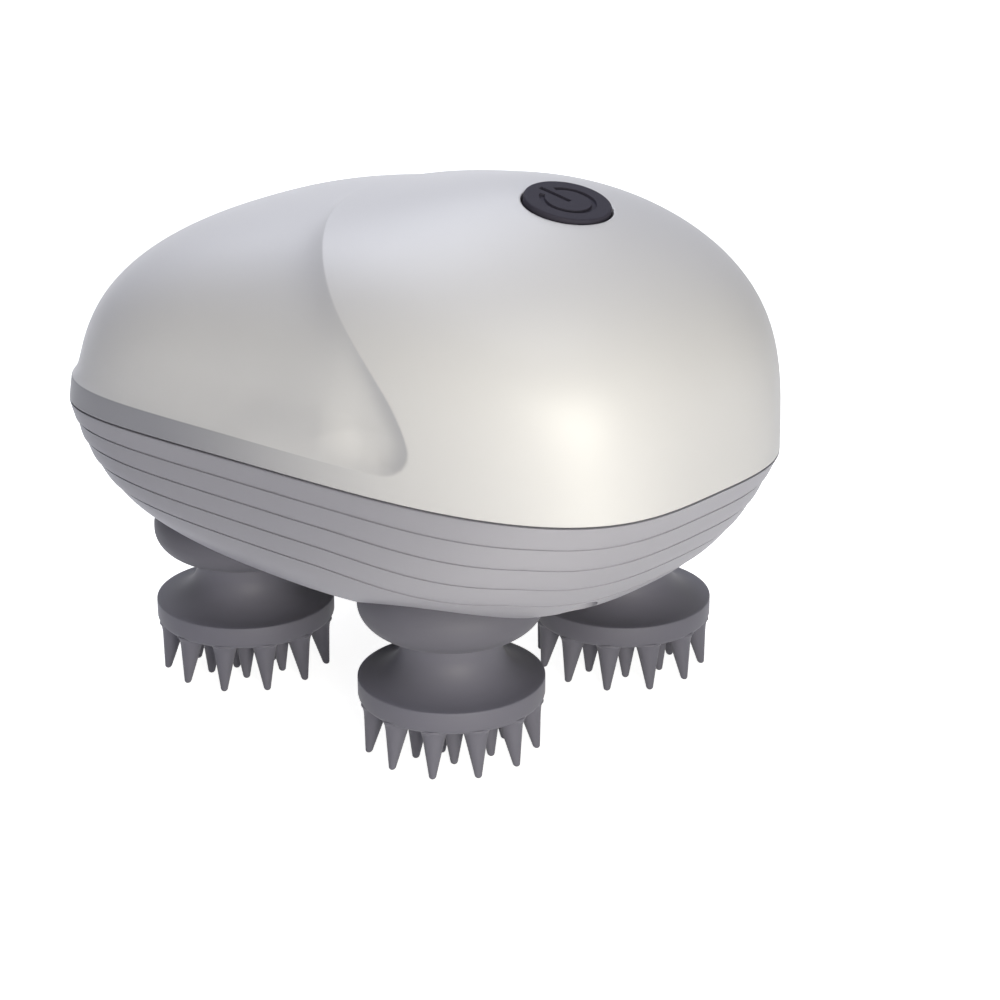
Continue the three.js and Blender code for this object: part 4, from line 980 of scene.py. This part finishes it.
# %% [markdown]
# Gears, shafts, plates, cell, motor and board are out of sight and keep their CAD shapes. Each gets
# the finish of its slot, so that an opened or cut view still reads.

# %% Finishes on the CAD pieces
for part in frame["record"]["subparts"]:
    for slot in frame["nodes"][part["node"]].material_slots:
        slot.material = looks[part["material_slot"]]

# %% [markdown]
# Each fine surface takes the place of its CAD node and rides on the same body, so that it turns or
# travels with it in every pose. Its object stays at the origin and its place is in the mesh, as a
# CAD node's is.

# %% Fine pieces in place
def add_piece(name, mesh, body, slot, node):
    """Object of a mesh that rides on a body, with the finish of its slot, in place of a CAD node."""
    obj = bpy.data.objects.new(name, mesh)
    bpy.context.scene.collection.objects.link(obj)
    mesh.materials.append(looks[slot])
    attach(obj, body)
    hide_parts(node)


add_piece("upper_shell_fine", upper_shell, "case", "shell_plastic", "upper_shell")
add_piece("lower_shell_fine", lower_shell, "case", "lower_plastic", "lower_shell")
add_piece("power_button_fine", power_button, "button", "button_plastic", "power_button")
for name in HEADS:
    add_piece("collar_fine_" + name, collars[name], "case", "collar_silicone", "collar_" + name)
    add_piece("head_fine_" + name, heads[name], "head_" + name, "head_silicone", "massage_head_" + name)
print(f"{3 + 2 * len(HEADS)} fine surfaces stand in for CAD pieces")

# %% [markdown]
# The photo was taken from the near side, turned well towards the blunt end, and from a little
# above. Its perspective gives the distance and the lens. A camera could be turned towards an empty
# object by a constraint. Here its right, up and back directions are worked out from two angles and
# become its matrix, and two shifts bring the part to its place in the picture.

# %% Camera
AZIMUTH, ELEVATION, DISTANCE = radians(41.7), radians(21.84), 0.4592
SHIFT_RIGHT, SHIFT_UP, FOCAL_LENGTH, SENSOR = 0.009062, 0.026545, 36 * 2.773, 36


def directions(azimuth, elevation):
    """Right, up and back of what looks at the part from an azimuth, 0 on the near side, and an
    elevation: back is (sin a cos e, -cos a cos e, sin e), and up is back x right."""
    back = np.array([sin(azimuth) * cos(elevation), -cos(azimuth) * cos(elevation), sin(elevation)])
    right = np.array([cos(azimuth), sin(azimuth), 0.0])
    return right, np.cross(back, right), back


def aimed(obj, place, axes):
    """Puts a camera or lamp, which looks along -back, in its place."""
    turn = Matrix(np.stack(axes, 1).tolist()).to_4x4()
    obj.matrix_world = Matrix.Translation(place) @ turn


camera = bpy.data.cameras.new("camera")
camera.lens, camera.sensor_width, camera.sensor_fit = FOCAL_LENGTH, SENSOR, "HORIZONTAL"
camera.clip_start, camera.clip_end = 0.01, 20
camera_object = bpy.data.objects.new("camera", camera)
bpy.context.scene.collection.objects.link(camera_object)
right, up, back = directions(AZIMUTH, ELEVATION)
aimed(camera_object, SHIFT_RIGHT * right + SHIFT_UP * up + DISTANCE * back, (right, up, back))
bpy.context.scene.camera = camera_object
print("camera at", [round(c, 3) for c in camera_object.matrix_world.translation], "m")

# %% [markdown]
# The photo's light is broad and soft. The bright spot on the blunt end is warm and low, and small
# lamps near the case make it fall off as quickly as there. Larger ones far off fill the rest: one
# over the front, and two cool ones that light the tail and the back. An area lamp gives such soft
# edges by itself, without any blur.

# %% Soft boxes
BULGE, CASE_MIDDLE = (0.045, -0.024, 0.055), (0, 0, 0.05)
WARM, COOL, PLAIN = (1.0, 0.97, 0.83), (0.89, 0.92, 1.0), (1, 1, 1)
SOFT_BOXES = {
    "low_key": dict(azimuth=46, elevation=2, distance=0.24, size=0.14, watts=0.18, colour=WARM,
                    target=BULGE),
    "side_key": dict(azimuth=60, elevation=6, distance=0.26, size=0.14, watts=0.45, colour=WARM,
                     target=BULGE),
    "front_top": dict(azimuth=52, elevation=62, distance=0.9, size=0.6, watts=1.9, colour=PLAIN),
    "back": dict(azimuth=235, elevation=50, distance=0.9, size=0.6, watts=3.2, colour=COOL),
    "left": dict(azimuth=-95, elevation=60, distance=0.9, size=0.6, watts=2.4, colour=COOL),
}


def soft_box(name, azimuth, elevation, distance, size, watts, colour, target=CASE_MIDDLE):
    """Square area lamp that looks at a target from a direction of the camera's own kind."""
    lamp = bpy.data.lights.new(name, "AREA")
    lamp.shape, lamp.size, lamp.energy, lamp.color = "SQUARE", size, watts, colour
    obj = bpy.data.objects.new(name, lamp)
    bpy.context.scene.collection.objects.link(obj)
    obj.visible_camera = False
    axes = directions(radians(azimuth), radians(elevation))
    aimed(obj, np.array(target) + distance * axes[2], axes)


for name, values in SOFT_BOXES.items():
    soft_box(name, **values)
print(f"{len(SOFT_BOXES)} soft boxes, {sum(box['watts'] for box in SOFT_BOXES.values()):.2f} watts in all")

# %% [markdown]
# The ground in the photo is pure white, which a lit surface never is. So the world is white only to
# the rays that show it, from the camera, a reflection or through glass, and lights the part hardly
# at all: a white world that lit everything would wash out the shading.

# %% World
WORLD_TINT, WORLD_LIGHT = (0.86, 0.9, 1.0, 1), 0.02


def seen(tree):
    """1 for the rays that show the background, 0 for those that only carry light."""
    ray = add_node(tree, "ShaderNodeLightPath").outputs
    direct = worked_out(tree, "MAXIMUM", ray["Is Camera Ray"], ray["Is Glossy Ray"])
    return worked_out(tree, "MAXIMUM", direct, ray["Is Transmission Ray"])


world = bpy.data.worlds.new("studio")
bpy.context.scene.world = world
world.use_nodes = True
tree = world.node_tree
dim = tree.nodes["Background"]
feed(tree, dim, {"Color": WORLD_TINT, "Strength": WORLD_LIGHT})
white = add_node(tree, "ShaderNodeBackground", {"Color": (1, 1, 1, 1), "Strength": 1.0})
shown = add_node(tree, "ShaderNodeMixShader", {0: seen(tree), 1: dim.outputs[0], 2: white.outputs[0]})
feed(tree, tree.nodes["World Output"], {0: shown.outputs[0]})
print(f"the world gives {WORLD_LIGHT:.0%} of the light that it shows")

# %% [markdown]
# A matt floor under the nubs sends light up into the heads and the bowl. It glows for the rays that
# show it, so that it is nearly as white as the world and its far edge can't be told. From below it
# is clear, so that the underside can be looked at. The floor is staging: it isn't a part of the
# object.

# %% Floor
FLOOR_HALF, FLOOR_DROP, FLOOR_PALE, FLOOR_ROUGH, FLOOR_GLOW = 900.0, 0.05, (0.8, 0.8, 0.8, 1), 0.9, 0.9
reach = np.array([-FLOOR_HALF, FLOOR_HALF])
x, y = np.meshgrid(reach, reach)
floor_mesh = grid_mesh("floor", np.stack([x, y, 0 * x - FLOOR_DROP], -1), close_columns=False)
floor = bpy.data.objects.new("floor", floor_mesh)
bpy.context.scene.collection.objects.link(floor)
floor_look = bpy.data.materials.new("floor")
floor_look.use_nodes = True
tree = floor_look.node_tree
matt = tree.nodes["Principled BSDF"]
feed(tree, matt, {"Base Color": FLOOR_PALE, "Roughness": FLOOR_ROUGH})
glow = add_node(tree, "ShaderNodeEmission", {"Strength": FLOOR_GLOW})
dark = add_node(tree, "ShaderNodeEmission", {"Strength": 0.0})
shown = add_node(tree, "ShaderNodeMixShader", {0: seen(tree), 1: dark.outputs[0], 2: glow.outputs[0]})
lit = add_node(tree, "ShaderNodeAddShader", {0: matt.outputs[0], 1: shown.outputs[0]})
clear = add_node(tree, "ShaderNodeBsdfTransparent")
# The floor's face looks down, so Backfacing is 1 from above and 0 from below.
above = add_node(tree, "ShaderNodeNewGeometry").outputs["Backfacing"]
sides = add_node(tree, "ShaderNodeMixShader", {0: above, 1: clear.outputs[0], 2: lit.outputs[0]})
feed(tree, tree.nodes["Material Output"], {0: sides.outputs[0]})
floor.data.materials.append(floor_look)
bpy.context.scene.view_settings.view_transform = "Standard"
print("the floor's face looks", "down" if floor_mesh.polygons[0].normal.z < 0 else "up")
